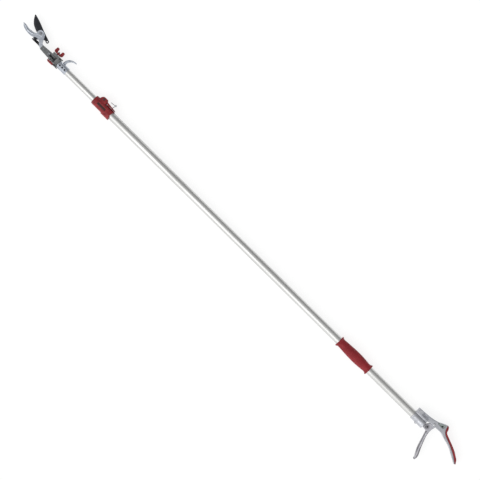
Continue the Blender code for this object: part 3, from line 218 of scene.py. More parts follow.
def bent_bar(name, path, across, up, place, power=2.5, steps=24):
    """A bar along a flat path, with the superellipse |a/across|^p + |u/up|^p = 1 as its section;
    across and up are given at even spacing along the path."""
    share = np.linspace(0, 1, len(path))
    wide = np.interp(share, np.linspace(0, 1, len(across)), across)[:, None]
    tall = np.interp(share, np.linspace(0, 1, len(up)), up)[:, None]
    angle = np.linspace(0, 2 * math.pi, steps, endpoint=False)
    c, s = np.cos(angle), np.sin(angle)
    a = wide * np.sign(c) * np.abs(c) ** (2 / power)
    u = tall * np.sign(s) * np.abs(s) ** (2 / power)
    left = normals(path, False)
    grid = on("z", u, path[:, :1] + left[:, :1] * a, path[:, 1:] + left[:, 1:] * a)
    return closed_solid(name, grid * MM + place)


def pipe_profile(start, end, outer, inner, lip=0.3):
    """A tube's wall as a closed profile with rounded lips, for a looped turning."""
    return rounded([(start, inner), (start, outer), (end, outer), (end, inner)], lip, 3)


def shaft_profile(points, lip=0.3):
    """A solid turning's profile with rounded shoulders, open at the axis."""
    return rounded(points, lip, 3, closed=False)


def button_profile(seat, top, radius, tip, shank):
    """A screw: its shank from the tip, then a head whose crown is an arc from seat to top."""
    a = np.linspace(0, math.pi / 2, 7)
    rise = top - seat
    crown = np.stack([seat + rise * (0.35 + 0.65 * np.sin(a)), radius * (0.35 + 0.65 * np.cos(a))], axis=1)
    low = math.copysign(0.4, rise)
    return np.concatenate([[(tip, shank - 0.4), (tip + low, shank), (seat, shank), (seat, radius)], crown])


def hexagon_profile(seat, top, radius):
    """A six-sided head or nut, its corners cut back at both faces."""
    cut = math.copysign(0.45, top - seat)
    return [(seat, radius - 0.5), (seat + cut, radius), (top - cut, radius), (top, radius - 0.5)]


# ------------------------------------------------------------------ joining and finishing shapes
def apply_modifiers(obj):
    """The object's mesh becomes what its modifiers make of it."""
    bpy.context.view_layer.update()
    graph = bpy.context.evaluated_depsgraph_get()
    mesh = bpy.data.meshes.new_from_object(obj.evaluated_get(graph))
    obj.modifiers.clear()
    obj.data = mesh
    return obj


def combined(target, tools, operation):
    for tool in tools:
        modifier = target.modifiers.new(tool.name, "BOOLEAN")
        modifier.operation = operation
        modifier.solver = "EXACT"
        modifier.object = tool
    apply_modifiers(target)
    for tool in tools:
        bpy.data.objects.remove(tool)
    return target


def fuse(target, *tools):
    return combined(target, tools, "UNION")


def carve(target, *tools):
    return combined(target, tools, "DIFFERENCE")


def cast(obj, voxel, rounds=6):
    """A casting's or a moulding's skin: an even mesh relaxed until every corner has a fillet."""
    remesh = obj.modifiers.new("skin", "REMESH")
    remesh.mode = "VOXEL"
    remesh.voxel_size = voxel
    relax = obj.modifiers.new("fillets", "SMOOTH")
    relax.factor = 0.5
    relax.iterations = rounds
    apply_modifiers(obj)
    obj.data.shade_smooth()
    return obj


# ------------------------------------------------------------------ shader groups
def group_io(name, inputs, outputs):
    """An empty shader group with its sockets; returns the group and its two end nodes."""
    group = bpy.data.node_groups.new(name, "ShaderNodeTree")
    for label, kind, value in inputs:
        socket = group.interface.new_socket(label, in_out="INPUT", socket_type=f"NodeSocket{kind}")
        if value is not None:
            socket.default_value = value
    for label, kind in outputs:
        group.interface.new_socket(label, in_out="OUTPUT", socket_type=f"NodeSocket{kind}")
    return group, group.nodes.new("NodeGroupInput"), group.nodes.new("NodeGroupOutput")


def noise(tree, vector, scale, detail=2.0, roughness=0.5):
    node = tree.nodes.new("ShaderNodeTexNoise")
    node.inputs["Detail"].default_value = detail
    node.inputs["Roughness"].default_value = roughness
    tree.links.new(vector, node.inputs["Vector"])
    if isinstance(scale, float):
        node.inputs["Scale"].default_value = scale
    else:
        tree.links.new(scale, node.inputs["Scale"])
    return node.outputs["Fac"]


def contrast(tree, value, low, high, to_low=0.0, to_high=1.0):
    node = tree.nodes.new("ShaderNodeMapRange")
    node.interpolation_type = "SMOOTHSTEP"
    for label, number in zip(("From Min", "From Max", "To Min", "To Max"), (low, high, to_low, to_high)):
        node.inputs[label].default_value = number
    tree.links.new(value, node.inputs["Value"])
    return node.outputs["Result"]


def calculate(tree, operation, first, second):
    node = tree.nodes.new("ShaderNodeMath")
    node.operation = operation
    for socket, value in zip(node.inputs, (first, second)):
        if isinstance(value, (int, float)):
            socket.default_value = value
        else:
            tree.links.new(value, socket)
    return node.outputs[0]


def make_patina_group():
    """Masks that every finish uses: broad blotches, fine grain, long scratches and worn edges."""
    group, start, end = group_io(
        "patina",
        [("Vector", "Vector", None), ("Scratch Vector", "Vector", None),
         ("Blotch Scale", "Float", 25.0), ("Grain Scale", "Float", 900.0)],
        [("Blotch", "Float"), ("Grain", "Float"), ("Scratch", "Float"), ("Edge", "Float")])
    vector = start.outputs["Vector"]
    blotch = contrast(group, noise(group, vector, start.outputs["Blotch Scale"], 4.0), 0.3, 0.7)
    grain = noise(group, vector, start.outputs["Grain Scale"], 3.0, 0.6)
    lines = noise(group, start.outputs["Scratch Vector"], 1.0, 3.0, 0.7)
    geometry = group.nodes.new("ShaderNodeNewGeometry")
    worn = contrast(group, geometry.outputs["Pointiness"], 0.52, 0.62)
    edge = calculate(group, "MULTIPLY", worn, contrast(group, grain, 0.35, 0.6, 0.3, 1.0))
    for label, value in (("Blotch", blotch), ("Grain", grain), ("Edge", edge),
                         ("Scratch", contrast(group, lines, 0.35, 0.65))):
        group.links.new(value, end.inputs[label])
    return group


PATINA = make_patina_group()


def mixed(tree, factor, first, second):
    node = tree.nodes.new("ShaderNodeMix")
    node.data_type = "RGBA"
    tree.links.new(factor, node.inputs["Factor"])
    for label, colour in (("A", first), ("B", second)):
        socket = [s for s in node.inputs if s.name == label and s.type == "RGBA"][0]
        if isinstance(colour, tuple):
            socket.default_value = (*colour, 1.0)
        else:
            tree.links.new(colour, socket)
    return [s for s in node.outputs if s.type == "RGBA"][0]


def finish(name, colour, dark, roughness, metallic=0.0, blotch=25.0, grain=900.0, stretch=(60, 60, 60),
           bump=0.15, bump_height=0.05, worn=None, spread=0.12, coat=0.0, scratch_share=0.4, specular=0.5,
           grime=None):
    """A Principled finish: dark-to-light blotches, grain in the bump, scratches in the roughness,
    the worn colour on edges and the painted shade colour where the piece's own attribute says so.
    Scales count repeats in a metre, and the bump's height is in millimetres."""
    material = bpy.data.materials.new(name)
    material.use_nodes = True
    tree = material.node_tree
    shader = tree.nodes["Principled BSDF"]
    place = tree.nodes.new("ShaderNodeTexCoord").outputs["Object"]
    lines = tree.nodes.new("ShaderNodeMapping")
    lines.inputs["Scale"].default_value = stretch
    tree.links.new(place, lines.inputs["Vector"])
    patina = tree.nodes.new("ShaderNodeGroup")
    patina.node_tree = PATINA
    patina.inputs["Blotch Scale"].default_value = blotch
    patina.inputs["Grain Scale"].default_value = grain
    tree.links.new(place, patina.inputs["Vector"])
    tree.links.new(lines.outputs["Vector"], patina.inputs["Scratch Vector"])
    tone = calculate(tree, "ADD", calculate(tree, "MULTIPLY", patina.outputs["Blotch"], 1 - scratch_share),
                     calculate(tree, "MULTIPLY", patina.outputs["Scratch"], scratch_share))
    shade = mixed(tree, tone, dark, colour)
    if worn:
        shade = mixed(tree, patina.outputs["Edge"], shade, worn)
    if grime:
        # painted shade: this attribute darkens the surface to stand in for shading, not dirt
        shade_mask = tree.nodes.new("ShaderNodeAttribute")
        shade_mask.attribute_name = "grime"
        mottled = calculate(tree, "MULTIPLY", shade_mask.outputs["Fac"],
                            contrast(tree, patina.outputs["Blotch"], 0.0, 1.0, 1.0, 0.75))
        shade = mixed(tree, mottled, shade, grime)
    tree.links.new(shade, shader.inputs["Base Color"])
    rough = contrast(tree, tone, 0.0, 1.0, roughness + spread, roughness - spread)
    tree.links.new(rough, shader.inputs["Roughness"])
    shader.inputs["Metallic"].default_value = metallic
    shader.inputs["Specular IOR Level"].default_value = specular
    shader.inputs["Coat Weight"].default_value = coat
    shader.inputs["Coat Roughness"].default_value = 0.15
    relief = calculate(tree, "ADD", patina.outputs["Grain"],
                       calculate(tree, "MULTIPLY", patina.outputs["Scratch"], scratch_share))
    bumps = tree.nodes.new("ShaderNodeBump")
    bumps.inputs["Strength"].default_value = bump
    bumps.inputs["Distance"].default_value = bump_height * MM
    tree.links.new(relief, bumps.inputs["Height"])
    tree.links.new(bumps.outputs["Normal"], shader.inputs["Normal"])
    return material


# Scratches are long where the stretch is small: along X on the tubes, the blade and the grip.
MATERIAL = {
    "tube_aluminium": finish(
        "drawn_tube", (0.74, 0.74, 0.73), (0.60, 0.60, 0.59), 0.34, metallic=1.0, blotch=9.0, grain=700.0,
        stretch=(6, 900, 900), bump=0.25, bump_height=0.03, spread=0.07, scratch_share=0.6),
    "cast_aluminium": finish(
        "tumbled_casting", (0.60, 0.61, 0.65), (0.40, 0.41, 0.44), 0.40, metallic=1.0, blotch=60.0,
        grain=1100.0, stretch=(150, 150, 150), bump=0.5, bump_height=0.10, worn=(0.80, 0.81, 0.85)),
    "head_grey": finish(
        "grey_enamel", (0.215, 0.225, 0.228), (0.125, 0.13, 0.135), 0.46, metallic=0.25, blotch=110.0,
        grain=1300.0, stretch=(200, 200, 200), bump=0.4, bump_height=0.08, worn=(0.42, 0.43, 0.44),
        coat=0.1, specular=0.4),
    "blade_black": finish(
        "blade_coating", (0.020, 0.022, 0.029), (0.009, 0.010, 0.014), 0.36, blotch=45.0, grain=1600.0,
        stretch=(40, 300, 300), bump=0.25, bump_height=0.05, worn=(0.10, 0.10, 0.11), specular=0.28),
    "hook_steel": finish(
        "plated_casting", (0.60, 0.64, 0.70), (0.34, 0.36, 0.41), 0.36, metallic=1.0, blotch=150.0,
        grain=900.0, stretch=(120, 120, 120), bump=0.6, bump_height=0.16, worn=(0.84, 0.87, 0.92)),
    "bright_steel": finish(
        "bright_zinc", (0.62, 0.63, 0.66), (0.42, 0.43, 0.46), 0.28, metallic=1.0, blotch=200.0,
        grain=1500.0, stretch=(300, 300, 300), bump=0.2, bump_height=0.04, worn=(0.86, 0.86, 0.88),
        spread=0.08),
    "black_steel": finish(
        "black_oxide", (0.018, 0.018, 0.021), (0.008, 0.008, 0.009), 0.38, blotch=160.0, grain=1500.0,
        stretch=(260, 260, 260), bump=0.3, bump_height=0.05, worn=(0.12, 0.12, 0.13), specular=0.3),
    "red_plastic": finish(
        "red_nylon", (0.335, 0.030, 0.036), (0.180, 0.012, 0.016), 0.40, blotch=70.0, grain=1500.0,
        stretch=(90, 90, 90), bump=0.3, bump_height=0.05, worn=(0.40, 0.06, 0.07), specular=0.30),
    "red_grip": finish(
        "red_grip_rubber", (0.330, 0.024, 0.031), (0.225, 0.014, 0.019), 0.50, blotch=50.0, grain=1800.0,
        stretch=(40, 500, 500), bump=0.5, bump_height=0.08, worn=(0.36, 0.05, 0.06), specular=0.26),
    "grey_plastic": finish(
        "grey_panel_plastic", (0.36, 0.41, 0.39), (0.26, 0.30, 0.285), 0.5, blotch=120.0, grain=1700.0,
        stretch=(100, 100, 100), bump=0.4, bump_height=0.06),
    "white_plastic": finish(
        "natural_nylon", (0.72, 0.71, 0.67), (0.60, 0.59, 0.55), 0.5, blotch=80.0, grain=1200.0,
        stretch=(100, 100, 100), bump=0.3, bump_height=0.05),
}
DULL_STEEL = finish(
    "dull_steel", (0.25, 0.26, 0.28), (0.13, 0.135, 0.15), 0.42, metallic=1.0, blotch=220.0, grain=1500.0,
    stretch=(300, 300, 300), bump=0.3, bump_height=0.05, worn=(0.55, 0.56, 0.58))
# the lever's dark second colour is painted shade, laid where its attribute says
LEVER_METAL = finish(
    "pressed_lever_metal", (0.68, 0.67, 0.71), (0.50, 0.50, 0.54), 0.38, metallic=1.0, blotch=60.0,
    grain=1100.0, stretch=(150, 150, 150), bump=0.4, bump_height=0.08, worn=(0.80, 0.81, 0.85),
    grime=(0.17, 0.165, 0.18))
LABEL_FILM = finish(
    "blank_label_film", (0.070, 0.026, 0.024), (0.045, 0.017, 0.016), 0.42, blotch=60.0, grain=1500.0,
    stretch=(90, 90, 90), bump=0.2, bump_height=0.03, specular=0.3)

NODE_SLOT = {part["node"]: part["material_slot"] for part in frame["record"]["subparts"]}
BODY_OF = {node: name for name, nodes in frame["record"]["behaviour"]["bodies"].items() for node in nodes}


def dress(obj, material):
    """Gives the object this one material."""
    obj.data.materials.clear()
    obj.data.materials.append(material)


def show(obj, node, material=None):
    """Puts a piece in place of a CAD node: it rides on the node's body and wears its slot's material, or the one
    given.
    """
    slot_name = NODE_SLOT[node]
    dress(obj, material or MATERIAL[slot_name])
    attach(obj, BODY_OF[node])
    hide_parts(node)
    return obj


for node_name, node_object in frame["nodes"].items():
    dress(node_object, MATERIAL[NODE_SLOT[node_name]])


# ------------------------------------------------------------------ studio
VIEW_UP = Vector((0.7025, -0.7117, 0.0)).normalized()
VIEW_CENTRE = Vector((PIVOT[0] + 0.8168, AXIS_Y - 0.0063, AXIS_Z))
VIEW_WIDTH = 1.464
CAMERA_HEIGHT = 6.0


def make_camera():
    """Straight above the tool, turned so that the pole lies across the picture's diagonal."""
    camera = bpy.data.cameras.new("camera")
    camera.sensor_width = 36.0
    camera.lens = camera.sensor_width * CAMERA_HEIGHT / VIEW_WIDTH
    obj = bpy.data.objects.new("camera", camera)
    bpy.context.scene.collection.objects.link(obj)
    right = VIEW_UP.cross(Vector((0, 0, 1)))
    turn = Matrix((right, VIEW_UP, Vector((0, 0, 1)))).transposed().to_4x4()
    obj.matrix_world = Matrix.Translation(VIEW_CENTRE + Vector((0, 0, CAMERA_HEIGHT))) @ turn
    bpy.context.scene.camera = obj


def make_world():
    """A soft studio: brightest towards +Y and overhead, dimmer on the far side of the pole."""
    world = bpy.data.worlds.new("studio")
    world.use_nodes = True
    tree = world.node_tree
    background = tree.nodes["Background"]
    background.inputs["Color"].default_value = (1.0, 1.0, 1.0, 1.0)
    direction = tree.nodes.new("ShaderNodeTexCoord").outputs["Generated"]
    split = tree.nodes.new("ShaderNodeSeparateXYZ")
    tree.links.new(direction, split.inputs["Vector"])
    ramp = tree.nodes.new("ShaderNodeMapRange")
    ramp.interpolation_type = "SMOOTHSTEP"
    for label, number in zip(("From Min", "From Max", "To Min", "To Max"), (-1.0, 1.0, 0.34, 1.06)):
        ramp.inputs[label].default_value = number
    tree.links.new(split.outputs["Y"], ramp.inputs["Value"])
    tree.links.new(ramp.outputs["Result"], background.inputs["Strength"])
    bpy.context.scene.world = world


def make_key_light():
    """One broad soft sun, high and towards +Y."""
    light = bpy.data.lights.new("key", "SUN")
    light.energy = 0.5
    light.angle = math.radians(50)
    obj = bpy.data.objects.new("key", light)
    obj.rotation_euler = Vector((0.15, 0.62, 0.78)).to_track_quat("Z", "Y").to_euler()
    bpy.context.scene.collection.objects.link(obj)


def make_floor():
    """Plain pale paper, lit from within a little so that it stays nearly white."""
    mesh = bpy.data.meshes.new("floor")
    reach = 6.0
    corners = [(-reach, -reach, 0), (reach, -reach, 0), (reach, reach, 0), (-reach, reach, 0)]
    mesh.from_pydata(corners, [], [(0, 1, 2, 3)])
    floor = bpy.data.objects.new("floor", mesh)
    floor.location.z = -FLOOR_GAP
    bpy.context.scene.collection.objects.link(floor)
    material = bpy.data.materials.new("floor_paper")
    material.use_nodes = True
    shader = material.node_tree.nodes["Principled BSDF"]
    shader.inputs["Base Color"].default_value = (0.28, 0.28, 0.28, 1)
    shader.inputs["Roughness"].default_value = 0.9
    shader.inputs["Specular IOR Level"].default_value = 0.0
    shader.inputs["Emission Color"].default_value = (1, 1, 1, 1)
    shader.inputs["Emission Strength"].default_value = 0.80
    mesh.materials.append(material)


make_camera()
make_world()
make_key_light()
make_floor()
bpy.context.scene.view_settings.view_transform = "Standard"

# ------------------------------------------------------------------ the pole
DATUM = at_pole(PIVOT[0] + 55.4 * MM)       # every length along the pole is counted from here
HANDLE = PIVOT
CLAMP = at_pole(LOWER_HIGH.x)
YOKE = at_pole(UPPER_HIGH.x)
LOWER_RADIUS = (LOWER_HIGH.z - LOWER_LOW.z) / 2 / MM
UPPER_RADIUS = (UPPER_HIGH.z - UPPER_LOW.z) / 2 / MM
TUBE_WALL = 1.2
FIT = 0.3                                   # clearance round each tube
SLEEVE_RADIUS = LOWER_RADIUS + FIT
YOKE_BORE = UPPER_RADIUS + FIT
BOLT_BORE = 3.3                             # round the bolts of the lever, socket and blade
TILT_BORE = 3.1                             # round the tilt bolt and the stud
SCREW_BORE = 1.8                            # round the small screws and pins
RIVET_BORE = 2.0
CAM_BORE = 2.3
CATCH_BORE = 0.9
THROUGH = 30                                # longer than any piece is thick


def along(x):
    """Millimetres from the datum to a world X."""
    return (x - DATUM[0]) / MM


def make_lower_pole():
    """The outer tube: a wall between two radii, with a window for the brake shoe."""
    x0, x1 = along(LOWER_LOW.x), along(LOWER_HIGH.x)
    pole = turned("lower_pole", pipe_profile(x0, x1, LOWER_RADIUS, LOWER_RADIUS - TUBE_WALL), DATUM,
                  steps=96, loop=True)
    cam = along(CAM[0])
    carve(pole, block("shoe_window", (cam - 8.6, -14, -6.8), (cam + 8.6, -6.3, 6.8), DATUM))
    show(pole, "lower_tube")


def make_upper_pole():
    """The inner tube: a wall between two radii."""
    x0, x1 = along(UPPER_LOW.x), along(UPPER_HIGH.x)
    show(turned("upper_pole", pipe_profile(x0, x1, UPPER_RADIUS, UPPER_RADIUS - TUBE_WALL), DATUM,
                steps=96, loop=True), "upper_tube")


def make_grip():
    """Barrel radius 14.2 + 2.6 sin(pi t)^1.3 (1 + cos(pi t)/4), finely fluted, between cone flanges."""
    low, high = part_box("grip_sleeve")
    start, length = along(low.x), (high.x - low.x) / MM
    t = np.linspace(0, 1, 90)
    barrel = 14.2 + 2.6 * np.sin(math.pi * t) ** 1.3 * (1 + 0.25 * np.cos(math.pi * t))
    x = 10.0 + (length - 20.0) * t
    barrel -= 0.35 * sum(np.exp(-((x - groove) / 0.7) ** 2) for groove in (12.5, 15.0, 112.0, 114.5))
    fade = np.clip((x - 17) / 8, 0, 1) * np.clip((110 - x) / 8, 0, 1)
    near = rounded([(0, 12.8), (0, 17.5), (3.2, 17.5), (5.8, 14.9), (10, 14.2)], 1.1, 4, closed=False)
    far = near[::-1] * (-1, 1) + (length, 0)
    profile = np.concatenate([np.column_stack([near[:-1], 0 * near[:-1, 0]]),
                              np.column_stack([x, barrel, 0.16 * fade]),
                              np.column_stack([far[1:], 0 * far[1:, 0]])])
    profile[:, 0] += start
    show(turned("hand_grip", profile, DATUM, steps=224, flutes=28, loop=True), "grip_sleeve")


def make_wiper():
    """A nylon ring that fills the step between the two tubes."""
    low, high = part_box("end_wiper")
    show(turned("nylon_wiper", pipe_profile(along(low.x), along(high.x), LOWER_RADIUS, YOKE_BORE),
                DATUM, steps=64, loop=True), "end_wiper")


# ------------------------------------------------------------------ the handle, from the lever's bolt
HORN_TOP = [(28.7, -8.3), (0.4, -13.3), (-18.6, -21.6), (-29.1, -26.6)]
SEAM = smooth([(-31.5, -27.0), (-35.3, -15.1), (-40.8, -6.0), (-50.1, 0.4), (-63.6, 5.8), (-81.6, 13.2),
               (-104.6, 25.0), (-121.3, 36.8), (-129.0, 42.4)], 70)
PALM = smooth([(-33.0, -27.2), (-37.3, -25.1), (-41.9, -17.8), (-44.0, -10.8), (-50.1, -6.3), (-68.2, 1.2),
               (-82.6, 6.7), (-99.1, 14.0), (-113.6, 23.1), (-122.6, 29.4), (-130.6, 41.2)], 70)
UNDERSIDE = smooth([(-126.6, 44.2), (-101.6, 30.3), (-80.1, 18.5), (-59.1, 12.2), (-44.6, 7.7),
                    (-31.6, 3.7), (-19.6, 4.0)], 50)
HORN_PANEL = np.array([(-2.6, -11.8), (-8.6, -9.8), (-27.0, -9.3), (-29.3, -16.3), (-28.3, -23.8),
                       (-18.6, -19.5)])
PANEL_SCREW = (-21.5, -13.0)
SOCKET_BOLT = (57.9, 1.3)
GRUB_X = 45.4
SOCKET_REAR, SOCKET_FRONT, SOCKET_Y = 22.4, 67.4, 21.7
CASTING_HALF, TAIL_HALF = 11.5, 9.5
LEVER_OUTER, LEVER_INNER = 7.6, 5.9


def offset(line, distance):
    """The line moved to its left by a distance."""
    return line + normals(line, False) * distance


def hole(name, place, centre, radius, low, high, axis="z", steps=32):
    """A round cutter along an axis."""
    return slab(name, arc(centre, radius, 0, 360 - 360 / steps, steps - 1), low, high, 0, place, axis)


def make_handle_casting():
    """Rounded plate fused with a turned socket, its pockets and bores cut, then skinned as one casting."""
    outline = np.concatenate([
        smooth([(SOCKET_FRONT, -5.8), *HORN_TOP], 40), offset(SEAM, -0.15), UNDERSIDE,
        arc((0, 0), 9.0, 156, 20, 20),
        [(15.4, 6.2), (SOCKET_REAR, 7.7), (SOCKET_REAR, SOCKET_Y - 10), (SOCKET_FRONT, SOCKET_Y - 10)]])
    casting = slab("handle_casting", outline, -CASTING_HALF, CASTING_HALF, 1.3, HANDLE, steps=4)
    collar = turned("collar", rounded(
        [(SOCKET_REAR, 13.0), (SOCKET_REAR, 15.0), (25.6, 15.0), (26.6, 14.55), (62.4, 14.55), (63.4, 15.0),
         (SOCKET_FRONT, 15.0), (SOCKET_FRONT, 13.0)], 0.5, 3, closed=False),
        HANDLE + (0, SOCKET_Y * MM, 0), steps=96)
    boss = turned("boss",
                  shaft_profile([(SOCKET_Y + 10, 4.2), (SOCKET_Y + 15.9, 4.2), (SOCKET_Y + 16.3, 3.4)]),
                  HANDLE + (GRUB_X * MM, 0, 0), "y", 32)
    fuse(casting, collar, boss)
    swing = np.concatenate([[(17.0, 30.0), (17.0, 10.5), (8.6, -1.5)], arc((0, 0), 8.3, -10, -135, 12),
                            [(-11.7, -0.2), (-20.5, 12.0), (-20.5, 30.0)]])
    pockets = [block(f"rib_pocket_{k}", (24.4 + 4.1 * k, -4.1, 9.3), (27.3 + 4.1 * k, 4.9, 13), HANDLE)
               for k in range(6)]
    groove = rounded(np.concatenate([offset(SEAM[22:60], 3.4), offset(SEAM[22:60], 8.2)[::-1]]), 1.2)
    grooves = [slab(f"tail_groove_{k}", groove, low, high, 0, HANDLE)
               for k, (low, high) in enumerate(((TAIL_HALF - 0.9, 12), (-12, 0.9 - TAIL_HALF)))]
    slopes = [slab(f"tail_slope_{k}", [(-150, side * 9.5), (-50, side * 9.5), (-42, side * 11.6),
                                       (-42, side * 14), (-150, side * 14)], -30, 60, 0, HANDLE, "y")
              for k, side in enumerate((1, -1))]
    carve(casting,
          slab("lever_slot", swing, -7.9, 7.9, 0, HANDLE),
          block("split", (19, -12, -0.8), (71, SOCKET_Y - 11, 0.8), HANDLE), *pockets, *grooves, *slopes,
          slab("panel_seat", HORN_PANEL, CASTING_HALF - 3, CASTING_HALF + 2, 0, HANDLE),
          hole("socket_bolt_hole", HANDLE, SOCKET_BOLT, BOLT_BORE, -THROUGH, THROUGH),
          hole("lever_bolt_hole", HANDLE, (0, 0), BOLT_BORE, -THROUGH, THROUGH),
          hole("panel_screw_hole", HANDLE, PANEL_SCREW, SCREW_BORE, 0, 20),
          hole("set_screw_hole", HANDLE, (GRUB_X, 0), 2.4, SOCKET_Y + 8, SOCKET_Y + 30, "y"))
    carve(casting, hole("tube_bore", HANDLE, (SOCKET_Y, 0), 12.8, SOCKET_REAR - 3, SOCKET_FRONT + 3, "x", 64))
    show(cast(casting, 0.6 * MM, 5), "handle_frame")


def make_palm_piece():
    """The red insert between two curves, with cross bars where the hand rests."""
    outline = np.concatenate([PALM, offset(SEAM, 0.15)[::-1]])
    palm = slab("palm_insert", outline, -10.5, 10.5, 0.8, HANDLE, steps=4)
    x = -60.0 - 3.6 * np.arange(7)
    order = np.argsort(PALM[:, 0])
    y = np.interp(x, PALM[order, 0], PALM[order, 1])
    bars = [slab(f"palm_bar_{k}", arc((x[k], y[k] + 0.55), 1.15, 0, 345, 23), -8.0, 8.0, 0.9, HANDLE)
            for k in range(len(x))]
    fuse(palm, *bars)
    show(cast(palm, 0.45 * MM, 4), "handle_insert")


def make_lever():
    """Pressed channel: outline plate, hollow inside, open on the palm side, with a long stamped groove.
    Painted shade grows from 1.7 to 3 mm away from the middle line (darker sides standing in for their shading),
    and as exp(-(d/8)^4) round the pin (a painted shadow where the parts meet)."""
    pin_y = SOCKET_Y
    front = smooth([(5.5, pin_y + 9.8), (2.4, pin_y + 20), (-10.6, pin_y + 62), (-24.6, pin_y + 90)], 40)
    lobe = smooth([(14.5, pin_y - 12.7), (19.5, pin_y - 5.7), (21.2, pin_y), (20.0, pin_y + 5.8),
                   (16.5, pin_y + 8.6)], 14)
    rear = smooth([(-31.6, pin_y + 90), (-30.8, pin_y + 80), (-19.6, pin_y + 55), (-6.6, pin_y + 20),
                   (-4.6, pin_y), (-7.0, 8.0)], 50)
    outline = np.concatenate([arc((0, 0), 7.6, 190, 350, 20), lobe, front,
                              [(-25.4, pin_y + 95.5), (-28.5, pin_y + 97.3), (-31.0, pin_y + 95.0)], rear])
    lever = slab("finger_lever", outline, -LEVER_OUTER, LEVER_OUTER, 0.9, HANDLE, steps=4)
    web = smooth([(5.5, pin_y + 9.8), (2.4, pin_y + 20), (-10.6, pin_y + 62), (-24.6, pin_y + 90)],
                 40) + (-2.4, 0.6)
    channel = np.concatenate([[(60, -30), (60, pin_y + 9.6)], web,
                              [(-27.5, pin_y + 94.5), (-60, pin_y + 94.5), (-60, -30)]])
    along_slot = np.array((12.4, pin_y)) / math.hypot(12.4, pin_y)
    slot = capsule(along_slot * (pin_y - 0.2), along_slot * (math.hypot(12.4, pin_y) + 0.2), 2.15, 8)
    middle = smooth([(-1.3, pin_y + 17), (-8.0, pin_y + 38), (-16.5, pin_y + 62), (-25.6, pin_y + 84)], 40)
    share = np.linspace(0, 1, 40)[:, None]
    half = 2.5 - 1.0 * share
    side = normals(middle, False) * half
    stamp = rounded(np.concatenate([middle + side, (middle - side)[::-1]]), 1.6)
    carve(lever, slab("channel", channel, -LEVER_INNER, LEVER_INNER, 0, HANDLE),
          slab("pin_slot", slot, -20, 20, 0, HANDLE),
          hole("lever_bore", HANDLE, (0, 0), BOLT_BORE, -20, 20),
          slab("stamp_above", stamp, LEVER_OUTER - 0.55, LEVER_OUTER + 2, 0, HANDLE),
          slab("stamp_below", stamp, -LEVER_OUTER - 2, 0.55 - LEVER_OUTER, 0, HANDLE))
    cast(lever, 0.42 * MM, 3)
    points = np.empty(len(lever.data.vertices) * 3, np.float32)
    lever.data.vertices.foreach_get("co", points)
    flat = (points.reshape(-1, 3)[:, :2] - HANDLE[:2]) / MM
    spine = smooth([(-0.8, pin_y + 8), (-2.3, pin_y + 20), (-15.1, pin_y + 58.5), (-28.0, pin_y + 92)], 120)
    away = np.min([np.hypot(flat[:, 0] - x, flat[:, 1] - y) for x, y in spine], axis=0)
    # painted shade: darker bands towards the lever's edges stand in for the shading of its sides
    rim = np.clip((away - 1.7) / 1.3, 0, 1) * (flat[:, 1] > pin_y + 9)
    # painted shadow round the lever's pin, where the parts meet
    pin = np.exp(-(np.hypot(flat[:, 0] - 12.4, flat[:, 1] - pin_y + 2) / 8.0) ** 4)
    grime = lever.data.attributes.new("grime", "FLOAT", "POINT")
    grime.data.foreach_set("value", np.maximum(0.95 * rim, 0.85 * pin).astype(np.float32))
    show(lever, "squeeze_lever", LEVER_METAL)


def make_panel():
    """Grey inlay with a rounded rim and a row of fine sunk lines."""
    middle = HORN_PANEL.mean(axis=0)
    inwards = middle - HORN_PANEL
    outline = HORN_PANEL + inwards / np.linalg.norm(inwards, axis=1)[:, None] * 0.6
    panel = slab("grey_inlay", rounded(outline, 1.2, 4), CASTING_HALF - 2.7, CASTING_HALF - 0.5, 0.4, HANDLE)
    lines = [slab(f"inlay_line_{k}",
                  capsule((-6.5 - 3.0 * k, -11.2), (-8.6 - 3.4 * k, -12.8 - 1.2 * k), 0.35, 4),
                  CASTING_HALF - 0.9, CASTING_HALF, 0, HANDLE) for k in range(4)]
    carve(panel, hole("inlay_screw_hole", HANDLE, PANEL_SCREW, SCREW_BORE, 0, 20), *lines)
    show(panel, "horn_panel")


def make_handle_fasteners():
    """The socket's bolt and nut, the lever's bolt and nut, the panel's screw and the grub screw."""
    face = CASTING_HALF + 0.3
    bolt_at, panel_at = (HANDLE + (x * MM, y * MM, 0) for x, y in (SOCKET_BOLT, PANEL_SCREW))
    bolt = turned("clamp_bolt", hexagon_profile(face, 15.3, 5.4), bolt_at, "z", 72, 6)
    shank = turned("shank", shaft_profile([(-16, 2.4), (-16, 3.0), (13, 3.0)]), bolt_at, "z", 32)
    show(fuse(bolt, shank), "socket_bolt")
    show(nut("clamp_nut", bolt_at, -15.7, -face, 5.4, BOLT_BORE), "socket_nut")
    show(screw("lever_bolt", HANDLE, face, 14.0, 4.6, -15.5, 3.0, recess="hexagon"), "lever_pivot_bolt")
    show(nut("lever_nut", HANDLE, -15.2, -face, 5.2, BOLT_BORE), "lever_pivot_nut")
    show(screw("inlay_screw", panel_at, 11.3, 12.5, 2.6, 2.5, 1.5), "horn_panel_screw")
    grub_at, top = HANDLE + (GRUB_X * MM, 0, 0), SOCKET_Y + 17.2
    profile = shaft_profile([(top - 4.4, 1.6), (top - 4.0, 2.0), (top - 0.3, 2.0), (top, 1.6)], 0.15)
    grub = turned("grub_screw", profile, grub_at, "y", 32)
    carve(grub, turned("grub_socket", [(top - 1.8, 1.1), (top + 1.8, 1.1)], grub_at, "y", 48, 6))
    show(grub, "socket_set_screw")


def nut(name, place, low, high, radius, bore, axis="z"):
    """A six-sided nut with cut-back corners and a countersunk bore."""
    obj = turned(name, hexagon_profile(low, high, radius), place, axis, 72, 6)
    shape = [(low - 1, bore + 1.2), (low + 0.2, bore), (high - 0.2, bore), (high + 1, bore + 1.2)]
    return carve(obj, turned(name + "_bore", shape, place, axis, 36))


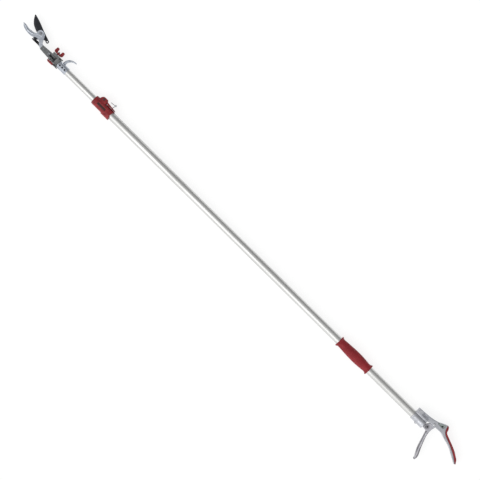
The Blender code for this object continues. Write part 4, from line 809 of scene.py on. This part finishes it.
def screw(name, place, seat, top, head, tip, shank, axis="z", recess="cross"):
    """A domed screw with a cross or a six-sided recess sunk in its head."""
    obj = turned(name, button_profile(seat, top, head, tip, shank), place, axis, 48)
    depth, proud = top - (top - seat) * 0.6, top + (top - seat)
    if recess == "hexagon":
        socket = [(depth, head * 0.42), (proud, head * 0.42)]
        return carve(obj, turned(name + "_socket", socket, place, axis, 48, 6))
    for k, turn in enumerate((0.35, 0.35 + math.pi / 2)):
        reach = np.array((math.cos(turn), math.sin(turn))) * head * 0.62
        carve(obj, slab(f"{name}_slot_{k}", capsule(-reach, reach, head * 0.13, 4), min(depth, proud),
                        max(depth, proud), 0, place, axis))
    return obj


# ------------------------------------------------------------------ the clamp
def make_clamp_housing():
    """Turned barrel, wider rear band, foot and cheeks fused, windows and bores cut, then skinned
    as one moulding."""
    rear, cam_x, cam_y = -62.0, (CAM[0] - CLAMP[0]) / MM, (CAM[1] - CLAMP[1]) / MM
    barrel_r = SLEEVE_RADIUS + 2.4
    barrel = turned("clamp_housing", rounded(
        [(rear - 4, 8), (rear - 4, barrel_r), (-10, barrel_r), (-9.2, barrel_r - 0.6), (-7.6, barrel_r - 0.6),
         (-6.8, barrel_r), (2, barrel_r), (6.5, barrel_r - 0.6), (8, barrel_r - 2), (8, 8)],
        0.5, 3, closed=False), CLAMP, steps=96)
    band = turned("band", rounded(
        [(rear - 4, 8), (rear - 4, barrel_r + 0.3), (-35, barrel_r + 0.3), (-35, 8)],
        0.9, 3, closed=False), CLAMP + (0, 2 * MM, 0), steps=96)
    foot = block("foot", (rear, -9, -17.5), (-4, 12, -9), CLAMP, 1.0, 2.5)
    cheek = rounded([(-4.5, -9), (-3.5, cam_y + 3), (-7.5, cam_y - 3.8), (-12, cam_y - 6.7),
                     (-25.5, cam_y - 6.7), (-28.5, cam_y - 1.8), (-29, -9)], 3.0, 5)
    ridges = [turned(f"ridge_{k}", rounded([(-58, 0.05), (-58, 0.85), (-12, 0.85), (-12, 0.05)], 0.6, 3,
                                           closed=False),
                     CLAMP + (0, math.sin(a) * (barrel_r - 0.15) * MM, math.cos(a) * (barrel_r - 0.15) * MM),
                     steps=24) for k, a in enumerate(np.radians((-38, -28, -18, 33)))]
    fuse(barrel, band, foot, slab("cheeks", cheek, -11.5, 11.5, 1.2, CLAMP), *ridges)
    carve(barrel,
          block("cam_bay", (cam_x - 13.9, cam_y - 10, -7.9), (cam_x + 13.4, -barrel_r + 0.3, 7.9), CLAMP),
          block("shoe_bay", (cam_x - 8.9, cam_y - 2, -6.8), (cam_x + 8.9, -6.3, 6.8), CLAMP),
          block("cam_room", (cam_x - 8.9, cam_y - 2, -7.9), (cam_x + 8.9, cam_y + 7.5, 7.9), CLAMP),
          block("label_seat", (-42, -3, barrel_r - 1.0), (-8, 8.5, 20), CLAMP, 0, 1.5),
          hole("scallop", CLAMP, (rear - 30, -1), 30, -30, 30, steps=128),
          hole("cam_pin_hole", CLAMP, (cam_x, cam_y), CAM_BORE, -THROUGH, THROUGH),
          hole("clamp_set_hole", CLAMP, (-50, 0), 2.8, -30, -5))
    carve(barrel, hole("clamp_bore", CLAMP, (0, 0), SLEEVE_RADIUS, rear - 6, 6.3, "x", 96),
          hole("lip_bore", CLAMP, (0, 0), YOKE_BORE + 0.2, 0, 12, "x", 96))
    show(cast(barrel, 0.55 * MM, 4), "clamp_body")


def make_label():
    """A blank film on the flat that is sunk in the housing's crown."""
    film = block("blank_label", (-41.2, -2.4, SLEEVE_RADIUS + 1.45), (-8.8, 4.9, SLEEVE_RADIUS + 1.75),
                 CLAMP, 0.1, 1.0)
    dress(film, LABEL_FILM)
    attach(film, "lower_section")


def make_cam_lever():
    """Eccentric cam and the long arm over the barrel, with thumb ridges and a slot for the catch."""
    lying = (AXIS_Y - CAM[1]) / MM - (SLEEVE_RADIUS + 2.4) - 0.3
    cam = arc((0, 0.6), 6.6, 100, -140, 36)
    arm = [(-11.2, -4.5), (-13.0, -1.6), (-30.0, 0.5), (-46.0, 2.4), (-49.7, 3.9), (-50.0, lying),
           (-10.0, lying), (-7.2, 4.0)]
    lever = slab("cam_lever", np.concatenate([cam, arm]), -7.6, 7.6, 0, CAM)
    wide = rounded([(-15, -1.1), (-30, 0.7), (-45.8, 2.6), (-49.4, 4.0), (-49.6, lying - 0.2),
                    (-15, lying - 0.2)], 0.3)
    ridges = [slab(f"thumb_ridge_{k}", arc((-38.5 - 2.3 * k, 1.95 + 0.29 * k), 0.75, 0, 340, 17),
                   -7.5, 7.5, 0.5, CAM) for k in (1, 2, 3)]
    fuse(lever, slab("wide_arm", wide, -9.5, 9.5, 0, CAM), *ridges)
    catch = ((CATCH[0] - CAM[0]) / MM, (CATCH[1] - CAM[1]) / MM)
    carve(lever, block("catch_slot", (catch[0] - 4.2, -10, -1.9), (catch[0] + 4.2, catch[1] + 2.0, 1.9), CAM),
          hole("cam_lever_bore", CAM, (0, 0), CAM_BORE, -THROUGH, THROUGH),
          hole("catch_pin_bore", CAM, catch, CATCH_BORE, -THROUGH, THROUGH))
    show(cast(lever, 0.38 * MM, 7), "clamp_lever")
    wire = shaft_profile([(-9, 0.4), (-8.8, 0.6), (8.8, 0.6), (9, 0.4)], 0.1)
    show(turned("catch_wire", wire, CATCH, "z", 24), "catch_pin", DULL_STEEL)


def make_catch():
    """Flat steel: an eye on its pin, a stem, an open ring and a thumb tongue."""
    ring_at = (-3.2, -13.3)
    catch = slab("steel_catch", arc((0, 0), 1.6, 0, 350, 35), -1.2, 1.2, 0.25, CATCH)
    fuse(catch, slab("stem", capsule((0, -0.8), (-2.8, -11.2), 0.9, 8), -1.1, 1.1, 0.3, CATCH),
         slab("ring", arc(ring_at, 3.0, 0, 354, 59), -1.2, 1.2, 0.45, CATCH),
         slab("tongue", capsule((-1.2, -12.2), (14.0, -10.6), 0.8, 8), -1.0, 1.0, 0.3, CATCH))
    carve(catch, hole("eye", CATCH, (0, 0), CATCH_BORE, -10, 10),
          hole("ring_hole", CATCH, ring_at, 1.4, -10, 10))
    show(catch, "lever_catch", DULL_STEEL)


def make_clamp_fasteners():
    """The cam's pin, the grub screw under the barrel and the shoe that the cam presses on the tube."""
    pin = screw("cam_pin", CAM, 11.8, 12.9, 3.2, -12.5, 2.0, recess="hexagon")
    show(pin, "clamp_cam_pin", MATERIAL["black_steel"])
    base = CLAMP + (-50 * MM, 0, 0)
    grub = turned("clamp_grub", shaft_profile([(-16.0, 2.1), (-15.6, 2.5), (-13.2, 2.5), (-12.8, 2.1)], 0.15),
                  base, "z", 32)
    show(carve(grub, turned("grub_hexagon", [(-20, 1.3), (-14.6, 1.3)], base, "z", 48, 6)), "clamp_set_screw")
    low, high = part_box("brake_shoe")
    show(block("cork_shoe", *(tuple((np.array(corner) - CAM) / MM) for corner in (low, high)), CAM, 0.3, 0.8),
         "brake_shoe")


# ------------------------------------------------------------------ branch hook and yoke, from the tube's end
def make_branch_hook():
    """Sleeve, flat pad and a bar curved back like a finger, thinning to its tip."""
    sleeve = turned("branch_hook_casting", rounded(
        [(-45.0, 9), (-45.0, YOKE_BORE + 1.5), (-42.4, YOKE_BORE + 1.5), (-41.6, YOKE_BORE + 1.1),
         (-12.6, YOKE_BORE + 1.1), (-11.8, YOKE_BORE + 1.5), (-9.3, YOKE_BORE + 1.5), (-9.3, 9)], 0.5, 3,
        closed=False), YOKE, steps=96)
    pad = block("pad", (-42, -4.5, 4), (-11.3, 5.5, YOKE_BORE + 3.1), YOKE, 1.0, 2.0)
    y = -YOKE_BORE - 0.4
    path = smooth([(-22.8, y + 1.0), (-22.4, y - 5.5), (-23.6, y - 11.5), (-27.4, y - 17.4),
                   (-33.6, y - 22.2), (-41.0, y - 25.3), (-49.6, y - 26.8)], 60)
    finger = bent_bar("finger", path, (6.0, 4.8, 4.4, 3.9, 3.3, 2.7, 2.2, 1.5),
                      (3.0, 3.0, 3.0, 2.9, 2.7, 2.4, 1.6), YOKE)
    fuse(sleeve, pad, finger)
    rows = (-17, -27, -37)
    carve(sleeve, *[hole(f"hook_hole_{k}", YOKE, (x, 0.5), SCREW_BORE, 5, 20) for k, x in enumerate(rows)])
    carve(sleeve, hole("hook_bore", YOKE, (0, 0), YOKE_BORE, -47, -7, "x", 96))
    show(cast(sleeve, 0.45 * MM, 4), "branch_hook")
    seat = YOKE_BORE + 3.4
    for k, x in enumerate(rows):
        show(screw(f"hook_set_screw_{k + 1}", YOKE + (x * MM, 0.5 * MM, 0), seat, seat + 1.9, 2.6,
                   YOKE_BORE, 1.5), f"hook_screw_{k + 1}")


WING_EAR, CAP_EAR = (-17.0, -9.0), (8.0, 11.2)
TILT_AHEAD = 12.5
SCREW_ROW = UPPER_RADIUS + 2.7


def make_yoke():
    """Clamp half, front wall and two round ears fused, bored and skinned as one casting."""
    top, half = YOKE_BORE + 2.4, YOKE_BORE + 5.0
    yoke = block("yoke_casting", (-8.5, -half, 0.15), (-0.6, half, top), YOKE)
    wall = block("wall", (0.3, WING_EAR[0] + 0.1, -12), (4.2, CAP_EAR[1] - 0.1, top - 0.4), YOKE)
    bridge = block("bridge", (-2, WING_EAR[0] + 0.2, 0.15), (1, CAP_EAR[1] - 0.2, top - 0.2), YOKE)
    ear = np.concatenate([[(0.3, -12)], arc((TILT_AHEAD, 0), 13.8, -70, 70, 40), [(0.3, 12.8)]])
    ears = [slab(f"ear_{k}", ear, low, high, 0, YOKE, "y")
            for k, (low, high) in enumerate((WING_EAR, CAP_EAR))]
    tabs = [block("wing_tab", (-13.2, -half - 0.8, 1), (-2, -half + 2, 7), YOKE),
            block("cap_tab", (-16, half - 3, 1), (-2, half, 6), YOKE)]
    web = block("web", (2.5, WING_EAR[1] - 1, -12), (22.5, CAP_EAR[0] + 1, -9.2), YOKE)
    fuse(yoke, wall, bridge, *ears, *tabs, web)
    carve(yoke, hole("cable_way", YOKE, (0, 0), 3.7, -2, 12, "x"),
          hole("tilt_hole", YOKE, (TILT_AHEAD, 0), TILT_BORE, -THROUGH, THROUGH, "y"),
          *[hole(f"yoke_hole_{k}", YOKE, (-4, side * SCREW_ROW), SCREW_BORE, -20, 30)
            for k, side in enumerate((-1, 1))],
          *[slab(f"ear_groove_{k}", np.concatenate([arc((TILT_AHEAD, 0), 12.2, -50, 50, 20),
                                                    arc((TILT_AHEAD, 0), 9.6, 50, -50, 20)]),
                 low, high, 0, YOKE, "y") for k, (low, high) in enumerate(((-17.6, -16.4), (10.6, 11.8)))])
    carve(yoke, hole("yoke_bore", YOKE, (0, 0), YOKE_BORE, -12, 0.3, "x", 96))
    show(cast(yoke, 0.42 * MM, 7), "tilt_yoke")
    faces = yoke.data.polygons
    centres = np.empty(len(faces) * 3, np.float32)
    faces.foreach_get("center", centres)
    yoke.data.materials.append(MATERIAL["black_steel"])
    behind = centres[::3] < YOKE[0] - 8.7 * MM      # the two black tabs
    faces.foreach_set("material_index", behind.astype(np.int32))
    cap = block("yoke_half", (-8.5, -half, -12), (-0.6, half, -0.15), YOKE)
    carve(cap, *[hole(f"half_hole_{k}", YOKE, (-4, side * SCREW_ROW), SCREW_BORE, -20, 30)
                 for k, side in enumerate((-1, 1))])
    carve(cap, hole("half_bore", YOKE, (0, 0), YOKE_BORE, -12, 4, "x", 96))
    show(cast(cap, 0.4 * MM, 7), "yoke_clamp_cap")
    for k, side in enumerate((-1, 1)):
        place = YOKE + (-4 * MM, side * SCREW_ROW * MM, 0)
        show(screw(f"yoke_bolt_{k + 1}", place, top + 0.3, top + 2.6, 2.8, -11.8, 1.5, recess="hexagon"),
             f"yoke_screw_{k + 1}")


def make_tilt_cap():
    """Red dome with a fluted rim and a shallow dished middle."""
    ear = CAP_EAR[1] + 0.3
    shape = rounded([(ear, 0.3), (ear, 12.4), (ear + 1.0, 12.6), (ear + 3.2, 12.6), (ear + 5.2, 11.0),
                     (ear + 6.6, 8.1), (ear + 6.6, 6.4), (ear + 5.9, 5.6), (ear + 5.9, 0.3)],
                    0.8, 5, closed=False)
    depth = 0.22 * np.exp(-((shape[:, 0] - ear - 2.3) / 1.3) ** 2) * (shape[:, 1] > 9)
    profile = np.column_stack([shape - np.outer(depth, (0, 1)), depth])
    cap = turned("red_tilt_cap", profile, TILT, "y", 192, flutes=24)
    carve(cap, hole("cap_bore", TILT, (0, 0), TILT_BORE, 0, ear + 3.2, "y"))
    show(cap, "tilt_cap")
    pin = shaft_profile([(3.4, 2.3), (3.9, 2.8), (14.0, 2.8), (14.4, 2.4)], 0.2)
    show(turned("tilt_pin", pin, TILT, "y", 48), "tilt_bolt")


def make_wing_nut():
    """A hub with two upright wings in a U, hollowed a little on both faces, skinned as one moulding."""
    seat = WING_EAR[0] - 1.2
    hub_top = seat - 4.6
    outline = rounded([(-16.3, seat - 5), (-15, seat - 16.5), (-10.5, seat - 17.2), (-6.5, seat - 16),
                       (-5.5, hub_top - 2), (-3, hub_top), (3, hub_top), (5.5, hub_top - 2), (6.5, seat - 16),
                       (10.5, seat - 17.2), (15, seat - 16.5), (16.3, seat - 5), (14, seat - 1.2), (10, seat),
                       (-10, seat), (-14, seat - 1.2)], 1.6, 5)
    wings = slab("red_wing_nut", outline, -4.2, 4.2, 1.4, TILT, steps=4)
    hub = turned("hub", shaft_profile([(seat, 9.4), (seat - 0.3, 9.8), (seat - 3.2, 9.8), (hub_top, 7.6)],
                                      0.6), TILT, "y", 96)
    fuse(wings, hub)
    dish = np.array([(8.6, seat - 6.5), (8.9, seat - 14.3), (12.8, seat - 14.3), (13.4, seat - 6.5)])
    faces = ((1, 3.4, 6), (-1, 3.4, 6), (1, -6, -3.4), (-1, -6, -3.4))
    dishes = [slab(f"wing_dish_{k}", rounded((dish * (side, 1))[::side], 1.2), low, high, 0, TILT)
              for k, (side, low, high) in enumerate(faces)]
    carve(wings, hole("knob_bore", TILT, (0, 0), TILT_BORE, -50, 20, "y"), *dishes)
    show(cast(wings, 0.42 * MM, 4), "wing_knob")
    washer = pipe_profile(-17.8, -17.3, 7.8, TILT_BORE, 0.12)
    show(turned("plain_washer", washer, TILT, "y", 64, loop=True), "knob_washer")
    thread = np.arange(-26.6, -3.6, 0.35)
    crest = 2.8 - 0.22 * (np.arange(len(thread)) % 2)
    stud = np.column_stack([np.r_[-27.2, thread, -3.4], np.r_[2.2, crest, 2.6]])
    show(turned("threaded_stud", stud, TILT, "y", 40), "wing_stud")


# ------------------------------------------------------------------ the head
HOOK_BOTTOM, HOOK_TOP = 1.8, 5.6
RIVETS = (20.0, 41.5)
ARM_START, HEAD_LENGTH = 14.5, 50.5


def make_arm():
    """Knuckle discs and an open channel fused, slotted for the cable and skinned as one casting."""
    knuckle = np.concatenate([arc((0, 0), 7.7, 90, 270, 30), [(ARM_START + 4, -7.7), (ARM_START + 4, 7.7)]])
    arm = slab("arm_casting", knuckle, WING_EAR[1] + 0.3, CAP_EAR[0] - 0.3, 0.5, TILT, "y")
    sides = rounded([(ARM_START, -9.3), (18, -9.7), (HEAD_LENGTH, -7.7), (HEAD_LENGTH, 7.5), (18, 9.7),
                     (ARM_START, 9.3)], 1.2)
    fuse(arm, slab("channel_sides", sides, -8.1, 8.1, 1.0, TILT, steps=4))
    inside = [(16.2, -7.9), (HEAD_LENGTH + 2, -5.9), (HEAD_LENGTH + 2, 5.9), (16.2, 7.9)]
    carve(arm, slab("inside", inside, -10, HOOK_TOP + 0.3, 0, TILT),
          block("cable_slot", (-12, -3.2, -12), (17.2, 3.2, 12), TILT),
          hole("knuckle_bore", TILT, (0, 0), TILT_BORE, -20, 20, "y"),
          *[hole(f"arm_hole_{k}", TILT, (x, -0.5), RIVET_BORE, 0, 20) for k, x in enumerate(RIVETS)],
          slab("arm_panel", capsule((27.5, -0.4), (35, -0.4), 3.4, 12), 7.6, 12, 0, TILT))
    fuse(arm, block("slot_floor", (9.3, -4.2, -8.1), (18.2, 4.2, -6.6), TILT))
    show(cast(arm, 0.42 * MM, 4), "head_arm")
    for k, (x, radius) in enumerate(zip(RIVETS, (5.0, 2.8))):
        place = TILT + (x * MM, -0.5 * MM, 0)
        rivet = turned(f"round_rivet_{k + 1}", shaft_profile(
            [(HOOK_BOTTOM - 0.6, 1.3), (HOOK_BOTTOM - 0.2, 1.7), (8.4, 1.7), (8.4, radius), (8.9, radius),
             (9.4, radius * 0.8), (9.4, 0.4)], 0.25), place, "z", 48)
        show(carve(rivet, hole("rivet_dimple", place, (0, 0), radius * 0.36, 9.0, 12)),
             f"arm_rivet_{k + 1}", DULL_STEEL)


def make_fixed_hook():
    """Curved jaw, round boss with a raised ring, and a neck into the arm, skinned as one casting."""
    px, py = (BLADE[0] - TILT[0]) / MM, (BLADE[1] - TILT[1]) / MM
    top = smooth([(9.7, 7.1), (16.0, 10.7), (26.0, 12.1), (37.0, 13.0), (47.6, 10.7), (56.0, 10.3),
                  (61.2, 11.0)], 40)
    under = smooth([(61.4, 11.8), (58.0, 15.0), (52.0, 20.0), (40.0, 24.3), (29.0, 25.7), (15.0, 25.0),
                    (7.6, 22.1), (3.0, 17.8)], 40)
    throat = smooth([(-2.0, 16.5), (-8.5, 18.0), (-14.5, 21.2), (-19.0, 26.2), (-24.0, 30.5),
                     (-30.5, 33.5)], 24)
    root, tail_end = HEAD_LENGTH - px, ARM_START + 4.5 - px
    tail = [(root, 5.5 - py), (tail_end, 5.5 - py), (tail_end, -5.5 - py), (root, -5.5 - py)]
    back = smooth([(-30.0, 19.2), (-27.0, 18.0), (-23.0, 13.6), (-19.6, 5.0), (-14.0, -5.0),
                   (-9.5, -9.0)], 30)
    outline = np.concatenate([top, under, throat, tail, back, arc((0, 0), 11.1, 245, 390, 40)])
    hook = slab("hook_casting", outline, HOOK_BOTTOM, HOOK_TOP, 0, BLADE)
    ring = np.concatenate([arc((0, 0), 10.3, 150, 425, 60), arc((0, 0), 8.6, 425, 150, 60)])
    spine = bent_bar("spine", smooth([(14.5, 15.5), (26, 18.6), (38, 18.4), (48, 15.0), (55.5, 12.6)], 40),
                     (1.6, 1.7, 1.5, 1.1, 0.5), (0.9, 0.9, 0.9, 0.8, 0.5), BLADE + (0, 0, HOOK_TOP * MM), 2.0)
    fuse(hook, slab("boss_ring", ring, HOOK_TOP - 0.5, HOOK_TOP + 0.5, 0, BLADE), spine)
    carve(hook, hole("hook_pivot", BLADE, (0, 0), BOLT_BORE, -20, 20),
          *[hole(f"tail_hole_{k}", TILT, (x, -0.5), RIVET_BORE, -20, 20) for k, x in enumerate(RIVETS)])
    show(cast(hook, 0.42 * MM, 7), "counter_blade")


def make_cutting_blade():
    """Blade lofted between spine and edge, its bevel the smaller of 6 mm and 0.42 of its width, with the
    eye and the drive fork fused to it."""
    count = 70
    spine = smooth([(4.0, -14.8), (14.0, -19.0), (24.0, -23.0), (39.0, -28.0), (50.0, -31.0),
                    (52.7, -30.4)], count)
    edge = smooth([(7.5, 10.0), (9.0, 5.0), (14.0, 4.5), (24.0, 0.5), (34.0, -5.0), (44.0, -15.0),
                   (53.0, -28.8)], count)
    width = np.linalg.norm(edge - spine, axis=1, keepdims=True)
    inwards = (spine - edge) / np.maximum(width, 1e-6)
    bevel = edge + inwards * np.minimum(6.0, 0.42 * width)
    low, high = -1.6, 1.5
    rim = np.minimum(0.35, 0.2 * width)
    columns = [(spine, low + 0.35), (spine - inwards * rim, low), (bevel, low), (edge, -0.25), (edge, 0.15),
               (bevel, high), (spine - inwards * rim, high), (spine, high - 0.35)]
    grid = np.stack([np.column_stack([line, np.full(count, z)]) for line, z in columns], axis=1)
    blade = closed_solid("ground_blade", grid * MM + BLADE)
    unit = np.array((4.0, 26.0)) / math.hypot(4.0, 26.0)
    side = np.array((-unit[1], unit[0]))
    half = 1.5 + 0.65 + 1.9
    fork = np.array([unit * 18 + side * half, unit * 31.2 + side * half, unit * 31.2 - side * half,
                     unit * 18 - side * half])
    tail = np.concatenate([
        smooth([(14.0, -19.0), (4.0, -14.8), (-11.0, -9.2), (-26.0, -4.0), (-31.0, -2.0)], 40),
        arc((-31.5, 3.5), 5.5, 260, 105, 30),
        smooth([(-29.5, 8.0), (-25.5, 6.2), (-19.0, 7.5), (-12.0, 12.0), (-8.5, 17.0)], 24),
        [unit * 23.5 + side * half, unit * 20 - side * half],
        smooth([(7.5, 10.0), (9.0, 5.0), (13.6, 4.4)], 12)])
    fuse(blade, slab("blade_tail", tail, low, high, 0.35, BLADE),
         slab("blade_fork", rounded(fork, 1.0), low, high, 0.35, BLADE))
    carve(blade, slab("fork_slot", capsule(unit * 25.7, unit * 40, 2.15, 12), -20, 20, 0, BLADE),
          hole("blade_pivot", BLADE, (0, 0), BOLT_BORE, -20, 20, steps=48),
          hole("blade_eye", BLADE, (-31.5, 3.5), 2.1, -20, 20))
    show(cast(blade, 0.36 * MM, 1), "blade")


def make_pivot():
    """The blade's washer, bolt and nut, stacked through the hook."""
    washer = HOOK_TOP + 0.3
    ring = pipe_profile(washer, washer + 1.0, 6.8, BOLT_BORE, 0.3)
    show(turned("dished_washer", ring, BLADE, "z", 72, loop=True), "blade_pivot_washer")
    bolt = screw("pivot_bolt", BLADE, washer + 1.3, washer + 3.4, 4.6, -5.8, 3.0, recess="hexagon")
    show(bolt, "blade_pivot_bolt", DULL_STEEL)
    show(nut("pivot_nut", BLADE, -5.6, -1.9, 5.2, BOLT_BORE), "blade_pivot_nut")


TONGUE_DROP = 3.45                          # the tongue's middle lies this far below the pole's axis


def make_tongue():
    """Flat pull bar with a round nose, a turned ferrule for the cable and a stop lump."""
    low, high, y, pin_x = -5.0, -1.9, -1.0, 85.5
    neck = 36.0
    outline = np.concatenate([arc((pin_x, y), 4.2, -90, 90, 24),
                              [(neck + 5, y + 4.2), (neck, 2.8), (neck - 4, 2.8), (neck - 4, -2.8),
                               (neck, -2.8 + y * 0.5), (neck + 5, y - 4.2)]])
    tongue = slab("pull_tongue", outline, low, high, 0.35, TILT)
    middle = -TONGUE_DROP
    ferrule = turned("ferrule", shaft_profile([(21, 2.2), (21.4, 2.7), (25, 2.7), (25.4, 2.3), (27.0, 2.3),
                                               (27.4, 2.7), (neck - 2, 2.7)], 0.2),
                     TILT + (0, 0, middle * MM), steps=48)
    fuse(tongue, ferrule, turned("lump", shaft_profile([(low + 0.5, 4.0), (0.6, 4.0), (1.2, 3.2)], 0.4),
                                 TILT + ((pin_x - 19.3) * MM, y * MM, 0), "z", 48))
    carve(tongue, hole("tongue_pin_hole", TILT, (pin_x, y), SCREW_BORE, -20, 20),
          hole("cable_hole", TILT, (0, middle), 1.15, 19, 46.5, "x"))
    show(tongue, "drive_tongue")
    pin = turned("drive_rivet", shaft_profile([(-6.7, 1.9), (-6.5, 2.5), (-5.3, 2.7), (-5.3, 1.5), (2.0, 1.5),
                                               (2.3, 1.2)], 0.15), TILT + (pin_x * MM, y * MM, 0), "z", 40)
    show(pin, "drive_pin")


def make_inner_pipes():
    """The pull rods and the rings round them, each a wall between two radii."""
    pipes = (("outer_pull_rod", "lower_pull_rod", 4.3), ("inner_pull_rod", "upper_pull_rod", 2.5),
             ("guide_ring", "rod_guide", 5.8), ("spring_collar", "spring_seat", 5.8))
    for name, node, bore in pipes:
        low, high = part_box(node)
        profile = pipe_profile(along(low.x), along(high.x), (high.z - low.z) / 2 / MM, bore, 0.2)
        show(turned(name, profile, DATUM, steps=48, loop=True), node)


def make_rod_eye():
    """Flat eye at the end of the rod, with a domed pin across it."""
    low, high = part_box("rod_end_pin")
    pin_at = np.array(((low.x + high.x) / 2, AXIS_Y, AXIS_Z))
    eye = slab("rod_eye", capsule((0, 0), (10.5, 0), 4.6, 16), -4.5, 4.5, 0.6, pin_at)
    fuse(eye, turned("eye_stem", shaft_profile([(8, 3.9), (25.6, 3.9), (26, 3.4)], 0.2), pin_at, steps=40))
    show(carve(eye, hole("eye_hole", pin_at, (0, 0), SCREW_BORE, -20, 20)), "rod_end_eye")
    pin = shaft_profile([(-7.3, 0.8), (-7.0, 1.5), (7.0, 1.5), (7.3, 0.8)], 0.2)
    show(turned("rod_pin", pin, pin_at, "z", 32), "rod_end_pin")


def coil(name, start, end, radius, wire, turns, place, steps=12):
    """A wire round a helix: centre (x, R cos a, R sin a), its section spanned by the radial direction
    and the direction across both the radial one and the helix's tangent. End turns lie flat."""
    share = np.linspace(0, 1, turns * 32 + 1)
    angle = 2 * math.pi * turns * share
    flat = 1.0 / turns
    lift = np.clip((share - flat) / (1 - 2 * flat), 0, 1)
    lift = 0.86 * lift + 0.14 * share
    centre = np.stack([start + wire + (end - start - 2 * wire) * lift, radius * np.cos(angle),
                       radius * np.sin(angle)], axis=1)
    out = np.stack([0 * angle, np.cos(angle), np.sin(angle)], axis=1)
    tangent = np.gradient(centre, axis=0)
    tangent /= np.linalg.norm(tangent, axis=1)[:, None]
    side = np.cross(tangent, out)
    ring = np.linspace(0, 2 * math.pi, steps, endpoint=False)[None, :, None]
    grid = centre[:, None] + wire * (np.cos(ring) * out[:, None] + np.sin(ring) * side[:, None])
    return closed_solid(name, grid * MM + place)


def make_spring():
    """The wire coil is 1.6 mm thick, wound between the ends of the spring's box."""
    low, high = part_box("return_spring")
    start, end = along(low.x), along(high.x)
    spring = coil("wound_spring", start, end, (high.z - low.z) / 2 / MM - 0.8, 0.8, 8, DATUM)
    show(spring, "return_spring")
    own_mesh(spring)


def make_cable():
    """Six strands laid round a core: section radius 0.84 + 0.15 |cos 3(a - twist)|, sinking by a smooth
    step t^2 (3 - 2t) from the rod's height to the tongue's, and bending at the tilt axis."""
    low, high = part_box("pull_cable")
    count = 160
    share = np.linspace(0, 1, count)
    x = np.linspace(low.x, high.x, count)
    run = (x - TILT[0]) / MM
    ease = np.clip((run + 14) / 16, 0, 1)
    z = AXIS_Z / MM - TONGUE_DROP * ease * ease * (3 - 2 * ease)
    angle = np.linspace(0, 2 * math.pi, 36, endpoint=False)[None]
    radius = 0.84 + 0.15 * np.abs(np.cos(3 * (angle - 9 * math.pi * share[:, None])))
    grid = np.stack(np.broadcast_arrays(x[:, None] / MM, AXIS_Y / MM + radius * np.cos(angle),
                                        z[:, None] + radius * np.sin(angle)), axis=-1)
    cable = closed_solid("stranded_cable", grid * MM)
    dress(cable, DULL_STEEL)
    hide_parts("pull_cable")
    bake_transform(cable)


for make in (make_inner_pipes, make_rod_eye, make_spring, make_cable, make_lower_pole, make_upper_pole,
             make_grip, make_wiper, make_handle_casting, make_palm_piece, make_lever, make_panel,
             make_handle_fasteners, make_clamp_housing, make_label, make_cam_lever, make_catch,
             make_clamp_fasteners, make_branch_hook, make_yoke, make_tilt_cap, make_wing_nut, make_arm,
             make_fixed_hook, make_cutting_blade, make_pivot, make_tongue):
    make()
